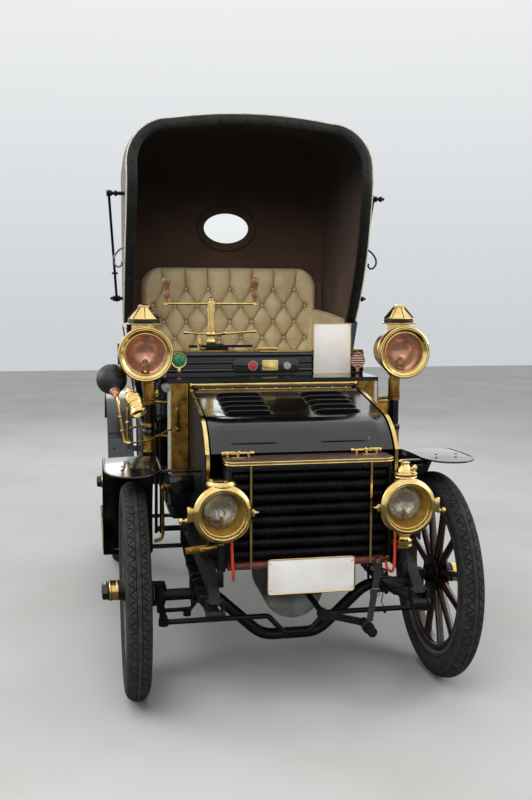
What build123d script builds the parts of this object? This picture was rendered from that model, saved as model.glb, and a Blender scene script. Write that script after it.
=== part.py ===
from build123d import *
import os
from math import atan2, cos, degrees, radians, sin, sqrt

os.makedirs("parts", exist_ok=True)

# A brass era two-seater with a leather hood, handlebar steering and a gilled-tube radiator.
# Millimetres. +X is the car's left, -Y its front, +Z up. The origin is on the ground, in the middle of the car.

# Layout
wheelbase = 1820
front_axle_y = -885
rear_axle_y = front_axle_y + wheelbase
seat_box_half = 500            # the rear wings and wheels stand just outside the seat box
track = 2 * (seat_box_half + 98)
sheet = 4                      # thickness of the wings and other sheet metal
fit_gap = 0.3                  # between pieces that only rest against each other
running_clearance = 0.05       # radial, between a shaft and its bore

# Wheels
front_tyre_diameter = 810
rear_tyre_diameter = 910
tyre_section = 90
bead_width = 56
rim_width = 66
rim_depth = 12
felloe_depth = 30
felloe_width = 46
spoke_count = 12
spoke_foot = (19, 15)          # half axes of a spoke where it leaves the hub
spoke_head = (14, 12)          # and where it enters the felloe
hub_flange_radius = 74
hub_flange_width = 52
hub_barrel_radius = 36
hub_collar_radius = 31
hub_reach = 122                # from the wheel's middle plane to the outer end of its cap
hub_cap_length = 30
hub_inner = 44                 # from the wheel's middle plane to the inner end of its hub
drum_radius = 112
drum_width = 38
spindle_radius = 16
spindle_end_gap = 8

# Frame, springs and axles
rail_x = 355
rail_width = 38
rail_height = 70
rail_bottom = 520
rail_top = rail_bottom + rail_height
frame_front = front_axle_y - 270
frame_rear = rear_axle_y + 440
cross_member_radius = 24
spring_width = 44
leaf_thickness = 7
leaf_count = 4
spring_half_span = 480
rear_spring_half_span = 420
spring_camber = 34
spring_eye_radius = 15
shackle_thickness = 8
rear_spring_x = rail_x + rail_width / 2 + 8 + spring_width / 2 + 8
axle_radius = 22
axle_end_z = 376
axle_dip_z = 196
kingpin_x = track / 2 - 98
kingpin_radius = 10
kingpin_boss_radius = 22
kingpin_boss_height = 60
kingpin_boss_z = 384
ear_thickness = 12
ear_gap = 1
steering_arm = 130
rear_axle_radius = 28
differential_radius = 105

wheel_z = front_tyre_diameter / 2
rear_wheel_z = rear_tyre_diameter / 2

# Steering
column_x = -207
column_y = front_axle_y + 750
column_radius = 19
column_top = 1285
bar_z = 1464
bar_half = 200
bar_radius = 6
grip_length = 112
grip_radius = 15
shaft_radius = 12
track_rod_z = 316
track_rod_radius = 10
track_rod_dip = 66
drag_link_z = 300
drag_arm = 100

# Engine, gearbox and exhaust
crank_z = 396
crankcase_radius = 118
crankcase_length = 240
crankcase_front = front_axle_y - 60
cylinder_size = (230, 250, 420)
gearbox_size = (230, 330, 220)
gearbox_front = front_axle_y + 620

# Radiator and the board above its tank
radiator_half = 292
radiator_front = front_axle_y - 345
gill_diameter = 38
tube_rows = 8
tube_banks = 3
tube_pitch = 39.5
radiator_bottom = 590
board_depth = 128
board_half = 300
board_thickness = 14
board_z = 928
bottom_bar_radius = 14
bottom_bar_z = 570
union_x = 274
union_y = radiator_front - 2
union_z = 572

# Bonnet
bonnet_half = 340
bonnet_side = 16
bonnet_rear = front_axle_y + 312
bonnet_rear_z = 1128
bonnet_knee = (front_axle_y - 60, 1064)
bonnet_front = (front_axle_y - 222, 950)
bonnet_skin = 6
louvre_rows = 5
louvre_first = 70
louvre_pitch = 48
louvre_x = 175
louvre_drift = 8
louvre_half = 82
edging_thickness = 4
lid_gap = 6
hinge_radius = 5
engine_box_bottom = rail_top + fit_gap

# Dashboard
dash_half = 432
dash_front = bonnet_rear + 8
dash_board = 22
ledge_z = 1150
ledge_thickness = 16
ledge_depth = 205
panel_height = 96
panel_thickness = 24

# Body
floor_thickness = 18
body_half = 430
wall = 18
sill_height = 100
seat_front = front_axle_y + 1010
seat_rear = front_axle_y + 1640
seat_box_top = 885
arm_half = seat_box_half + 72
arm_top = 1365
tail_rear = rear_axle_y + 240
tail_top = 985
cushion_height = 135
back_top = 1645
back_thickness = 96
arm_pad = 42

# Hood: arch sections from front to back
hood_wall = 12
hood_half = arm_half + 5
hood_bottom = arm_top + fit_gap
window_z = 1862
window_half = (125, 82)

# Wings and running boards
wing_inner = kingpin_x
wing_outer = track / 2 + 104
wing_lip_y = front_axle_y - 188
wing_lip_z = 872
wing_crest = (front_axle_y + 115, 886)
wing_sweep = 358
wing_bottom = 412               # the wings' feet reach down the ends of the running boards
wing_flange = 24
rear_wing_inner = seat_box_half + 30
rear_wing_outer = track / 2 + 64
rear_wing_radius = 520
board_half_width = (wing_outer - wing_inner) / 2
running_board_z = wing_bottom - 4
running_board_thickness = 24

# Lamps
headlamp_x = 322
headlamp_face = front_axle_y - 432
headlamp_z = 782
headlamp_radius = 101
headlamp_depth = 82
dash_lamp_x = 531
dash_lamp_face = front_axle_y + 238
dash_lamp_z = 1272
dash_lamp_radius = 109
dash_lamp_depth = 170
post_radius = 19
post_bottom = 893
glass_thickness = 4

# Horn, plates, levers
horn_x = -dash_lamp_x - 131
horn_y = front_axle_y + 340
horn_bulb_z = 1168
horn_bulb_radius = 62
plate_size = (316, 128)
plate_thickness = 4
plate_z = 534
rally_size = (166, 216)


def finish(piece, label):
    """Names a finished piece and writes it to its own file."""
    piece.part.label = label
    export_step(piece.part, f"parts/{label}.step")


def both(x):
    """The two mirrored places of a piece that stands on each side."""
    return (-x, x)


# Wheels: wooden spokes between a steel-banded felloe and a flanged hub, turned about X at the origin
def make_tyre(tyre_radius, place, label):
    with BuildPart() as tyre:
        with BuildSketch(Plane.XZ) as section:
            with Locations((0, tyre_radius - tyre_section / 2)):
                Circle(tyre_section / 2)
            with Locations((0, tyre_radius - tyre_section * 0.75)):
                Rectangle(bead_width, tyre_section / 2)
        revolve(axis=Axis.X)
    tyre.part = tyre.part.moved(place)
    finish(tyre, label)


def make_wheel(tyre_radius, place, side, label, drum=False):
    """side is +1 where the hub's cap points to +X, and -1 where it points to -X."""
    rim_radius = tyre_radius - tyre_section - fit_gap
    felloe_radius = rim_radius - rim_depth
    with BuildPart() as wheel:
        with BuildSketch(Plane.XZ) as rings:
            with Locations((0, felloe_radius - felloe_depth / 2)):
                Rectangle(felloe_width, felloe_depth)
            with Locations((0, rim_radius - rim_depth / 2)):
                Rectangle(rim_width, rim_depth)
            for x in both((bead_width + rim_width) / 4 + 1):
                with Locations((x, rim_radius + 3)):
                    Rectangle((rim_width - bead_width) / 2 - 2, 12)
        revolve(axis=Axis.X)
        with BuildSketch(Plane.XZ) as hub:
            hub_length = hub_reach + hub_inner
            hub_middle = side * (hub_reach - hub_inner) / 2
            with Locations((hub_middle, hub_collar_radius / 2)):
                Rectangle(hub_length, hub_collar_radius)
            with Locations((side * 9, hub_barrel_radius / 2)):
                Rectangle(2 * hub_inner + 18, hub_barrel_radius)
            with Locations((0, hub_flange_radius / 2)):
                Rectangle(hub_flange_width, hub_flange_radius)
            with Locations((side * (hub_reach - hub_cap_length - 14), (hub_collar_radius + 5) / 2)):
                Rectangle(16, hub_collar_radius + 5)
            if drum:
                with Locations((-side * (hub_flange_width + drum_width) / 2, drum_radius / 2)):
                    Rectangle(drum_width, drum_radius)
        revolve(axis=Axis.X)
        for i in range(spoke_count):
            angle = 360 * (i + 0.5) / spoke_count
            foot = Plane((0, 0, 0), x_dir=(1, 0, 0), z_dir=(0, sin(radians(angle)), cos(radians(angle))))
            with BuildSketch(foot.offset(hub_flange_radius - 8)):
                Ellipse(*spoke_foot)
            with BuildSketch(foot.offset(felloe_radius - felloe_depth + 6)):
                Ellipse(*spoke_head)
            loft()
        bore_end = hub_reach - hub_cap_length
        bore_start = hub_inner + drum_width
        with Locations(Location((side * (bore_end - bore_start) / 2, 0, 0), (0, 90, 0))):
            Cylinder(spindle_radius + running_clearance, bore_end + bore_start, mode=Mode.SUBTRACT)
    wheel.part = wheel.part.moved(place)
    finish(wheel, label)


wheel_places = {
    "front_left": (front_tyre_diameter / 2, track / 2, front_axle_y, 1, False),
    "front_right": (front_tyre_diameter / 2, -track / 2, front_axle_y, -1, False),
    "rear_left": (rear_tyre_diameter / 2, track / 2, rear_axle_y, 1, True),
    "rear_right": (rear_tyre_diameter / 2, -track / 2, rear_axle_y, -1, True),
}
for corner, (tyre_radius, x, y, side, drum) in wheel_places.items():
    place = Location((x, y, tyre_radius))
    make_tyre(tyre_radius, place, f"tyre_{corner}")
    make_wheel(tyre_radius, place, side, f"wheel_{corner}", drum)


# Frame: two side members with dumb irons at the front, joined by tubular cross members
cross_member_places = (frame_front + 60, front_axle_y + 470, seat_front + 40, frame_rear - 40)
spring_top = leaf_count * leaf_thickness + spring_camber
dumb_iron_eye_z = axle_end_z + axle_radius + fit_gap + spring_top - leaf_thickness / 2
eye_y = front_axle_y - spring_half_span
shackle_y = front_axle_y + spring_half_span

with BuildPart() as chassis_frame:
    for x in both(rail_x):
        with BuildSketch(Plane.YZ.offset(x)) as rail:
            with BuildLine():
                Polyline(
                    (frame_front, rail_top),
                    (frame_rear, rail_top),
                    (frame_rear, rail_bottom),
                    (frame_front + 40, rail_bottom),
                )
                ThreePointArc(
                    (frame_front + 40, rail_bottom),
                    (frame_front - 80, rail_bottom - 8),
                    (eye_y + 22, dumb_iron_eye_z + 24),
                )
                Line((eye_y + 22, dumb_iron_eye_z + 24), (eye_y + 4, dumb_iron_eye_z + 34))
                ThreePointArc(
                    (eye_y + 4, dumb_iron_eye_z + 34),
                    (frame_front - 110, rail_top - 30),
                    (frame_front, rail_top),
                )
            make_face()
        extrude(amount=rail_width / 2, both=True)
        # two cheeks hold the spring's front eye
        for cheek in both(spring_width / 2 + 1 + shackle_thickness / 2):
            with BuildSketch(Plane.YZ.offset(x + cheek)):
                with Locations((eye_y, dumb_iron_eye_z)):
                    Circle(spring_eye_radius + 5)
                with Locations((eye_y + 16, dumb_iron_eye_z + 24)):
                    Rectangle(44, 40)
            extrude(amount=shackle_thickness / 2, both=True)
        with Locations(Location((x, eye_y + 22, dumb_iron_eye_z + 36), (0, 90, 0))):
            Cylinder(12, spring_width + 2 + 2 * shackle_thickness)
    for y in cross_member_places:
        with Locations(Location((0, y, rail_bottom + rail_height / 2), (0, 90, 0))):
            Cylinder(cross_member_radius, 2 * rail_x - rail_width + 2)
finish(chassis_frame, "chassis_frame")


# Springs: leaves of one thickness, curved about one centre, shorter towards the bottom
leaf_shares = (1.0, 0.78, 0.56, 0.34)
axle_seat_front = axle_end_z + axle_radius
axle_seat_rear = rear_wheel_z + rear_axle_radius


def leaf_height(y, half_span, seat, layer):
    """Height of the underside of a leaf at a distance y from the axle. Layer 0 is the lowest leaf."""
    bend = (half_span**2 + spring_camber**2) / (2 * spring_camber)
    radius = bend + leaf_thickness * (leaf_count - layer)
    return seat + layer * leaf_thickness + radius - sqrt(radius**2 - y**2)


def make_spring(x, y, seat, half_span):
    """A leaf spring over the axle at y."""
    with BuildPart() as spring:
        for layer in range(leaf_count):
            reach = half_span * leaf_shares[leaf_count - 1 - layer]
            low = leaf_height(reach, half_span, seat, layer)
            high = leaf_height(reach, half_span, seat, layer + 1)
            with BuildSketch(Plane.YZ.offset(x)):
                with BuildLine():
                    ThreePointArc((y - reach, low), (y, seat + layer * leaf_thickness), (y + reach, low))
                    Line((y + reach, low), (y + reach, high))
                    ThreePointArc(
                        (y + reach, high), (y, seat + (layer + 1) * leaf_thickness), (y - reach, high)
                    )
                    Line((y - reach, high), (y - reach, low))
                make_face()
            extrude(amount=spring_width / 2, both=True)
    return spring.part


with BuildPart() as springs:
    for x in both(rail_x):
        seat = axle_seat_front + fit_gap
        add(make_spring(x, front_axle_y, seat, spring_half_span))
        eye_z = seat + spring_top - leaf_thickness / 2
        for y in (eye_y, shackle_y):
            with Locations(Location((x, y, eye_z), (0, 90, 0))):
                Cylinder(spring_eye_radius, spring_width)
        with Locations((x, shackle_y, (eye_z + rail_bottom) / 2)):
            Box(spring_width, 22, rail_bottom - eye_z - 2 * fit_gap)
    for x in both(rear_spring_x):
        seat = axle_seat_rear + fit_gap
        add(make_spring(x, rear_axle_y, seat, rear_spring_half_span))
        eye_z = seat + spring_top - leaf_thickness / 2
        bracket_width = rear_spring_x - rail_x - rail_width / 2 - fit_gap
        inward = -1 if x > 0 else 1
        for y in (rear_axle_y - rear_spring_half_span, rear_axle_y + rear_spring_half_span):
            with Locations(Location((x, y, eye_z), (0, 90, 0))):
                Cylinder(spring_eye_radius, spring_width)
            with Locations((x + inward * bracket_width / 2, y, eye_z + 22)):
                Box(bracket_width, 26, 40)
finish(springs, "springs")


# Front axle: a round beam that dips in the middle, with an upright boss for each kingpin
dip_half = 70
with BuildPart() as front_axle:
    with BuildLine(Plane.XZ.offset(-front_axle_y)) as beam:
        FilletPolyline(
            (-kingpin_x + 10, axle_end_z),
            (-rail_x + 50, axle_end_z),
            (-dip_half - 40, axle_dip_z),
            (dip_half + 40, axle_dip_z),
            (rail_x - 50, axle_end_z),
            (kingpin_x - 10, axle_end_z),
            radius=[110, 120, 120, 110],
        )
    with BuildSketch(Plane(beam.line @ 0, z_dir=beam.line % 0)):
        Circle(axle_radius)
    sweep()
    for x in both(kingpin_x):
        with Locations((x, front_axle_y, kingpin_boss_z)):
            Cylinder(kingpin_boss_radius, kingpin_boss_height)
    for x in both(rail_x):
        # clip plates under the springs
        with Locations((x, front_axle_y, axle_end_z - axle_radius + 4)):
            Box(spring_width + 24, 90, 12)
    for x in both(kingpin_x):
        with Locations((x, front_axle_y, kingpin_boss_z)):
            Cylinder(kingpin_radius + running_clearance, 2 * kingpin_boss_height, mode=Mode.SUBTRACT)
finish(front_axle, "front_axle")


# Rear axle: a tube with a differential case, ending in the spindles that carry the wheels
rear_spindle_start = track / 2 - hub_inner - drum_width
with BuildPart() as rear_axle:
    with Locations(Location((0, rear_axle_y, rear_wheel_z), (0, 90, 0))):
        Cylinder(rear_axle_radius, 2 * (rear_spindle_start - 1))
        Cylinder(spindle_radius, track + 2 * (hub_reach - hub_cap_length - spindle_end_gap))
    with BuildSketch(Plane.YZ):
        with Locations((rear_axle_y, rear_wheel_z)):
            Circle(differential_radius)
    extrude(amount=45, both=True)
    chamfer(faces().filter_by(GeomType.CYLINDER).sort_by(SortBy.RADIUS)[-1].edges(), 22)
    with Locations(Location((0, rear_axle_y - differential_radius, rear_wheel_z), (90, 0, 0))):
        Cylinder(44, 90)
finish(rear_axle, "rear_axle")


# Knuckles: a forked stub axle on each kingpin, with the arm for the track rod
ear_z = kingpin_boss_height / 2 + ear_gap + ear_thickness / 2


def make_knuckle(side, label):
    x0 = side * kingpin_x
    post_x = side * (kingpin_boss_radius + 10)
    inner_face = track / 2 - hub_inner - 1
    with BuildPart() as knuckle:
        with Locations((x0, front_axle_y, kingpin_boss_z)):
            Cylinder(kingpin_radius, kingpin_boss_height + 2 * (ear_gap + ear_thickness))
        for z in both(ear_z):
            with BuildSketch(Plane.XY.offset(kingpin_boss_z + z - ear_thickness / 2)):
                with Locations((x0, front_axle_y)):
                    Circle(kingpin_boss_radius - 4)
                with Locations((x0 + post_x / 2, front_axle_y)):
                    Rectangle(abs(post_x), 36)
            extrude(amount=ear_thickness)
        with Locations((x0 + post_x, front_axle_y, kingpin_boss_z)):
            Box(16, 44, kingpin_boss_height + 2 * (ear_gap + ear_thickness))
        shoulder = inner_face - kingpin_x - abs(post_x)
        with Locations(Location((x0 + post_x + side * shoulder / 2, front_axle_y, wheel_z), (0, 90, 0))):
            Cylinder(spindle_radius + 6, shoulder)
        reach = track / 2 + hub_reach - hub_cap_length - spindle_end_gap - kingpin_x
        with Locations(Location((x0 + side * (reach + abs(post_x)) / 2, front_axle_y, wheel_z), (0, 90, 0))):
            Cylinder(spindle_radius, reach - abs(post_x))
        # arm to the track rod, under the lower ear
        arm_top_z = kingpin_boss_z - ear_z - ear_thickness / 2
        with BuildSketch(Plane.XY.offset(track_rod_z + track_rod_radius + 4)) as arm:
            with Locations((x0, front_axle_y), (x0, front_axle_y - steering_arm)):
                Circle(15)
            with Locations((x0, front_axle_y - steering_arm / 2)):
                Rectangle(22, steering_arm)
        extrude(amount=arm_top_z - track_rod_z - track_rod_radius - 4)
        with Locations((x0, front_axle_y - steering_arm, track_rod_z)):
            Cylinder(7, 2 * track_rod_radius + 12)
        if side < 0:
            # arm to the drag link, below the axle and pointing inwards
            with Locations((x0, front_axle_y, (drag_link_z + 10 + arm_top_z) / 2)):
                Cylinder(15, arm_top_z - drag_link_z - 10)
            with BuildSketch(Plane.XY.offset(drag_link_z + 10)):
                with Locations((x0, front_axle_y), (x0 + drag_arm, front_axle_y)):
                    Circle(14)
                with Locations((x0 + drag_arm / 2, front_axle_y)):
                    Rectangle(drag_arm, 20)
            extrude(amount=10)
            with Locations((x0 + drag_arm, front_axle_y, drag_link_z + 4)):
                Cylinder(6, 30)
    finish(knuckle, label)


make_knuckle(1, "knuckle_left")
make_knuckle(-1, "knuckle_right")


# Track rod: straight, with a dip that clears the engine, and an eye at each end
with BuildPart() as track_rod:
    with BuildLine(Plane.XZ.offset(-(front_axle_y - steering_arm))) as rod:
        FilletPolyline(
            (-kingpin_x + 14, track_rod_z),
            (-110, track_rod_z),
            (-50, track_rod_z - track_rod_dip),
            (50, track_rod_z - track_rod_dip),
            (110, track_rod_z),
            (kingpin_x - 14, track_rod_z),
            radius=24,
        )
    with BuildSketch(Plane(rod.line @ 0, z_dir=rod.line % 0)):
        Circle(track_rod_radius)
    sweep()
    for x in both(kingpin_x):
        with Locations((x, front_axle_y - steering_arm, track_rod_z)):
            Cylinder(18, 2 * track_rod_radius + 4)
    for x in both(kingpin_x):
        with Locations((x, front_axle_y - steering_arm, track_rod_z)):
            Cylinder(7 + running_clearance, 60, mode=Mode.SUBTRACT)
finish(track_rod, "track_rod")


# Drag link: from the arm at the foot of the steering shaft to the right knuckle
link_start = (-kingpin_x + drag_arm, front_axle_y)
link_end = (column_x + drag_arm, column_y)
link_angle = degrees(atan2(link_end[1] - link_start[1], link_end[0] - link_start[0]))
link_length = sqrt((link_end[0] - link_start[0]) ** 2 + (link_end[1] - link_start[1]) ** 2)
link_middle = ((link_start[0] + link_end[0]) / 2, (link_start[1] + link_end[1]) / 2)
with BuildPart() as drag_link:
    with Locations(Location((*link_middle, drag_link_z), (-90, 90 - link_angle, 0))):
        Cylinder(8, link_length - 20)
    for x, y in (link_start, link_end):
        with Locations((x, y, drag_link_z)):
            Cylinder(15, 18)
    for x, y in (link_start, link_end):
        with Locations((x, y, drag_link_z)):
            Cylinder(6 + running_clearance, 60, mode=Mode.SUBTRACT)
finish(drag_link, "drag_link")


# Handlebar: a cross bar on a vertical shaft, turned wooden grips at its ends, and the arm at the shaft's foot
with BuildPart() as handlebar:
    shaft_bottom = drag_link_z + 10
    with Locations((column_x, column_y, (bar_z + shaft_bottom) / 2)):
        Cylinder(shaft_radius, bar_z - shaft_bottom)
    with Locations(Location((column_x, column_y, bar_z), (0, 90, 0))):
        Cylinder(bar_radius, 2 * bar_half)
    with Locations((column_x, column_y, bar_z - 14)):
        Cylinder(20, 44)
    with Locations((column_x, column_y, bar_z + 14)):
        Cylinder(13, 22)
    with Locations((column_x, column_y, (bar_z - 36 + column_top + 6) / 2)):
        Cylinder(17, bar_z - 36 - column_top - 6)
    for x in both(bar_half):
        with Locations((column_x + x, column_y, bar_z)):
            Cylinder(9, 2 * bar_radius + 4)
    with BuildSketch(Plane.XY.offset(drag_link_z + 10)):
        with Locations((column_x, column_y), (column_x + drag_arm, column_y)):
            Circle(17)
        with Locations((column_x + drag_arm / 2, column_y)):
            Rectangle(drag_arm, 22)
    extrude(amount=14)
    with Locations((column_x + drag_arm, column_y, drag_link_z + 6)):
        Cylinder(6, 34)
finish(handlebar, "handlebar")

with BuildPart() as handlebar_grips:
    grip_bottom = bar_z + bar_radius + 2 + fit_gap
    for x in both(bar_half):
        with BuildSketch(Plane.XZ.offset(-column_y)) as grip:
            with BuildLine():
                x0 = column_x + x
                Polyline((x0, grip_bottom + grip_length), (x0, grip_bottom), (x0 + 9, grip_bottom))
                Line((x0 + 9, grip_bottom), (x0 + 10, grip_bottom + grip_length * 0.45))
                ThreePointArc(
                    (x0 + 10, grip_bottom + grip_length * 0.45),
                    (x0 + grip_radius, grip_bottom + grip_length * 0.78),
                    (x0 + 7, grip_bottom + grip_length),
                )
                Line((x0 + 7, grip_bottom + grip_length), (x0, grip_bottom + grip_length))
            make_face()
        revolve(axis=Axis((column_x + x, column_y, 0), (0, 0, 1)))
finish(handlebar_grips, "handlebar_grips")


# Steering column: the fixed tube round the shaft, with its bracket on the dash and the hand levers below the bar
column_bottom = rail_bottom - 40
with BuildPart() as steering_column:
    with Locations((column_x, column_y, (column_top + column_bottom) / 2)):
        Cylinder(column_radius, column_top - column_bottom)
    with Locations((column_x, column_y, column_top - 55)):
        Box(96, 60, 62)
    with Locations((column_x, column_y, rail_top + floor_thickness + 2 * fit_gap + 4)):
        Cylinder(column_radius + 20, 8)
    stay_length = column_y - (dash_front + ledge_depth + fit_gap)
    with Locations((column_x, column_y - stay_length / 2, ledge_z + panel_height - 24)):
        Box(40, stay_length, 14)
    for x, length in ((-1, 100), (1, 190)):
        with Locations(Location((column_x + x * length / 2, column_y, column_top - 12), (0, 90, 0))):
            Cylinder(6, length)
    with Locations((column_x, column_y, (column_top + column_bottom) / 2)):
        Cylinder(shaft_radius + running_clearance, column_top - column_bottom + 2, mode=Mode.SUBTRACT)
finish(steering_column, "steering_column")


# Engine: crankcase under the bonnet's front, with the cylinder as one plain block
with BuildPart() as engine:
    with BuildSketch(Plane.XZ.offset(-crankcase_front)):
        with Locations((0, crank_z)):
            Circle(crankcase_radius)
        with Locations((0, crank_z + crankcase_radius * 0.6)):
            Rectangle(1.5 * crankcase_radius, crankcase_radius)
    extrude(amount=-crankcase_length)
    with Locations((0, crankcase_front + crankcase_length / 2, crank_z + crankcase_radius + cylinder_size[2] / 2)):
        Box(*cylinder_size)
    # bearers to the side members
    for y in (crankcase_front + 30, crankcase_front + crankcase_length - 30):
        with Locations((0, y, rail_bottom + rail_height / 2)):
            Box(2 * rail_x - rail_width - 2 * fit_gap, 36, 40)
finish(engine, "engine")

with BuildPart() as gearbox:
    gearbox_z = rail_bottom + 10
    with Locations((0, gearbox_front + gearbox_size[1] / 2, gearbox_z - gearbox_size[2] / 2 + 50)):
        Box(*gearbox_size)
    fillet(edges().filter_by(Axis.Y), 40)
    with Locations((0, gearbox_front + gearbox_size[1] / 2 + 70, rail_bottom + rail_height / 2)):
        Box(2 * rail_x - rail_width - 2 * fit_gap, 40, 30)
    shaft_front = crankcase_front + crankcase_length + fit_gap
    with Locations(Location((0, (shaft_front + gearbox_front) / 2, crank_z + 50), (90, 0, 0))):
        Cylinder(24, gearbox_front - shaft_front)
finish(gearbox, "gearbox")

propshaft_start = gearbox_front + gearbox_size[1] + fit_gap
propshaft_end = rear_axle_y - differential_radius - 45 - fit_gap
with BuildPart() as propeller_shaft:
    run = propshaft_end - propshaft_start
    with Locations(Location((0, (propshaft_start + propshaft_end) / 2, rear_wheel_z - 5), (90, 0, 0))):
        Cylinder(18, run)
    for y in (propshaft_start + 22, propshaft_end - 22):
        with Locations(Location((0, y, rear_wheel_z - 5), (90, 0, 0))):
            Cylinder(32, 44)
finish(propeller_shaft, "propeller_shaft")

with BuildPart() as exhaust:
    silencer_x = 240
    silencer_front = gearbox_front + 120
    with Locations(Location((silencer_x, silencer_front + 260, 440), (90, 0, 0))):
        Cylinder(62, 520)
    with Locations(Location((silencer_x, silencer_front + 700, 440), (90, 0, 0))):
        Cylinder(17, 380)
    with Locations(Location((silencer_x, silencer_front - 110, 440), (90, 0, 0))):
        Cylinder(17, 240)
    for y in (silencer_front + 60, silencer_front + 460):
        with Locations((silencer_x, y, (440 + rail_bottom + rail_height) / 2)):
            Box(24, 16, rail_bottom + rail_height - 440 - 2 * fit_gap)
finish(exhaust, "exhaust")


# Radiator: banks of gilled tubes between two side plates, on a bar across the dumb irons
with BuildPart() as radiator:
    tube_length = 2 * radiator_half - 30
    for bank in range(tube_banks):
        for row in range(tube_rows):
            y = radiator_front + gill_diameter / 2 + 8 + bank * tube_pitch
            z = radiator_bottom + gill_diameter / 2 + row * tube_pitch
            with Locations(Location((0, y, z), (0, 90, 0))):
                Cylinder(gill_diameter / 2, tube_length)
    plate_depth = tube_banks * tube_pitch + 12
    plate_height = tube_rows * tube_pitch + 4
    for x in both(radiator_half - 6):
        with Locations((x, radiator_front + plate_depth / 2, radiator_bottom + plate_height / 2 - 2)):
            Box(12, plate_depth, plate_height)
    with Locations(Location((0, radiator_front + 26, bottom_bar_z), (0, 90, 0))):
        Cylinder(bottom_bar_radius, 2 * radiator_half)
    for x in both(radiator_half - 6):
        with Locations((x, radiator_front + 26, bottom_bar_z + 14)):
            Box(12, 30, 28)
    # feet on the side members
    for x in both(radiator_half + 28):
        with Locations((x, radiator_front + plate_depth - 32, rail_top + fit_gap + 14)):
            Box(60, 26, 28)
    # gas unions on the lower bar, which take the lamps' hoses
    for x in both(union_x):
        with Locations(Location((x, (union_y + radiator_front + 26) / 2, union_z + 8), (90, 0, 0))):
            Cylinder(5, radiator_front + 26 - union_y)
        with Locations((x, union_y, union_z + 1 + 9)):
            Cylinder(7, 18)
finish(radiator, "radiator")

# Tank and its board, above the radiator
radiator_top = radiator_bottom + plate_height - 2
with BuildPart() as radiator_tank:
    tank_height = board_z - radiator_top - fit_gap
    with Locations((0, radiator_front + plate_depth / 2, board_z - tank_height / 2)):
        Box(2 * radiator_half, plate_depth, tank_height)
    with BuildSketch(Plane.XY.offset(board_z)):
        with Locations((0, radiator_front - 6 + board_depth / 2)):
            Rectangle(2 * board_half, board_depth)
    extrude(amount=board_thickness)
    fillet(edges().filter_by(Axis.Z).group_by(Axis.Y)[0], 8)
finish(radiator_tank, "radiator_tank")

# Brass straps down the radiator's face and the brass edge of the engine box
with BuildPart() as radiator_straps:
    strap_bottom = bottom_bar_z
    for x in both(214):
        with Locations((x, radiator_front - 5, (board_z + strap_bottom) / 2)):
            Box(7, 6, board_z - strap_bottom - 2 * fit_gap)
        with Locations((x, radiator_front + 2, strap_bottom + 2)):
            Box(7, 20, 6)
    for x in both(bonnet_half + 6):
        with Locations((x, bonnet_front[0] - 4, (bonnet_front[1] + engine_box_bottom) / 2)):
            Box(12, 6, bonnet_front[1] - engine_box_bottom)
finish(radiator_straps, "radiator_straps")


# Bonnet: fixed sides that end in a brass-bound edge, and a louvred lid hinged along the dash
def bonnet_edge(inset, front_drop=0):
    """The bonnet's top line in side view, as a line, an arc and a line, drawn from back to front."""
    knee = bonnet_knee
    Line((bonnet_rear, bonnet_rear_z - inset), (knee[0], knee[1] - inset))
    ThreePointArc(
        (knee[0], knee[1] - inset),
        (front_axle_y - 170 + inset * 0.7, 1014 - inset * 0.7),
        (bonnet_front[0] + inset, bonnet_front[1] - front_drop),
    )


with BuildPart() as bonnet_sides:
    for x in both(bonnet_half + bonnet_side / 2):
        with BuildSketch(Plane.YZ.offset(x)):
            with BuildLine():
                bonnet_edge(0)
                Polyline(
                    (bonnet_front[0], bonnet_front[1]),
                    (bonnet_front[0], engine_box_bottom),
                    (bonnet_rear, engine_box_bottom),
                    (bonnet_rear, bonnet_rear_z),
                )
            make_face()
        extrude(amount=bonnet_side / 2, both=True)
        fillet(edges().filter_by(Axis.Z).group_by(Axis.Y)[-1], 2)
finish(bonnet_sides, "bonnet_sides")

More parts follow.
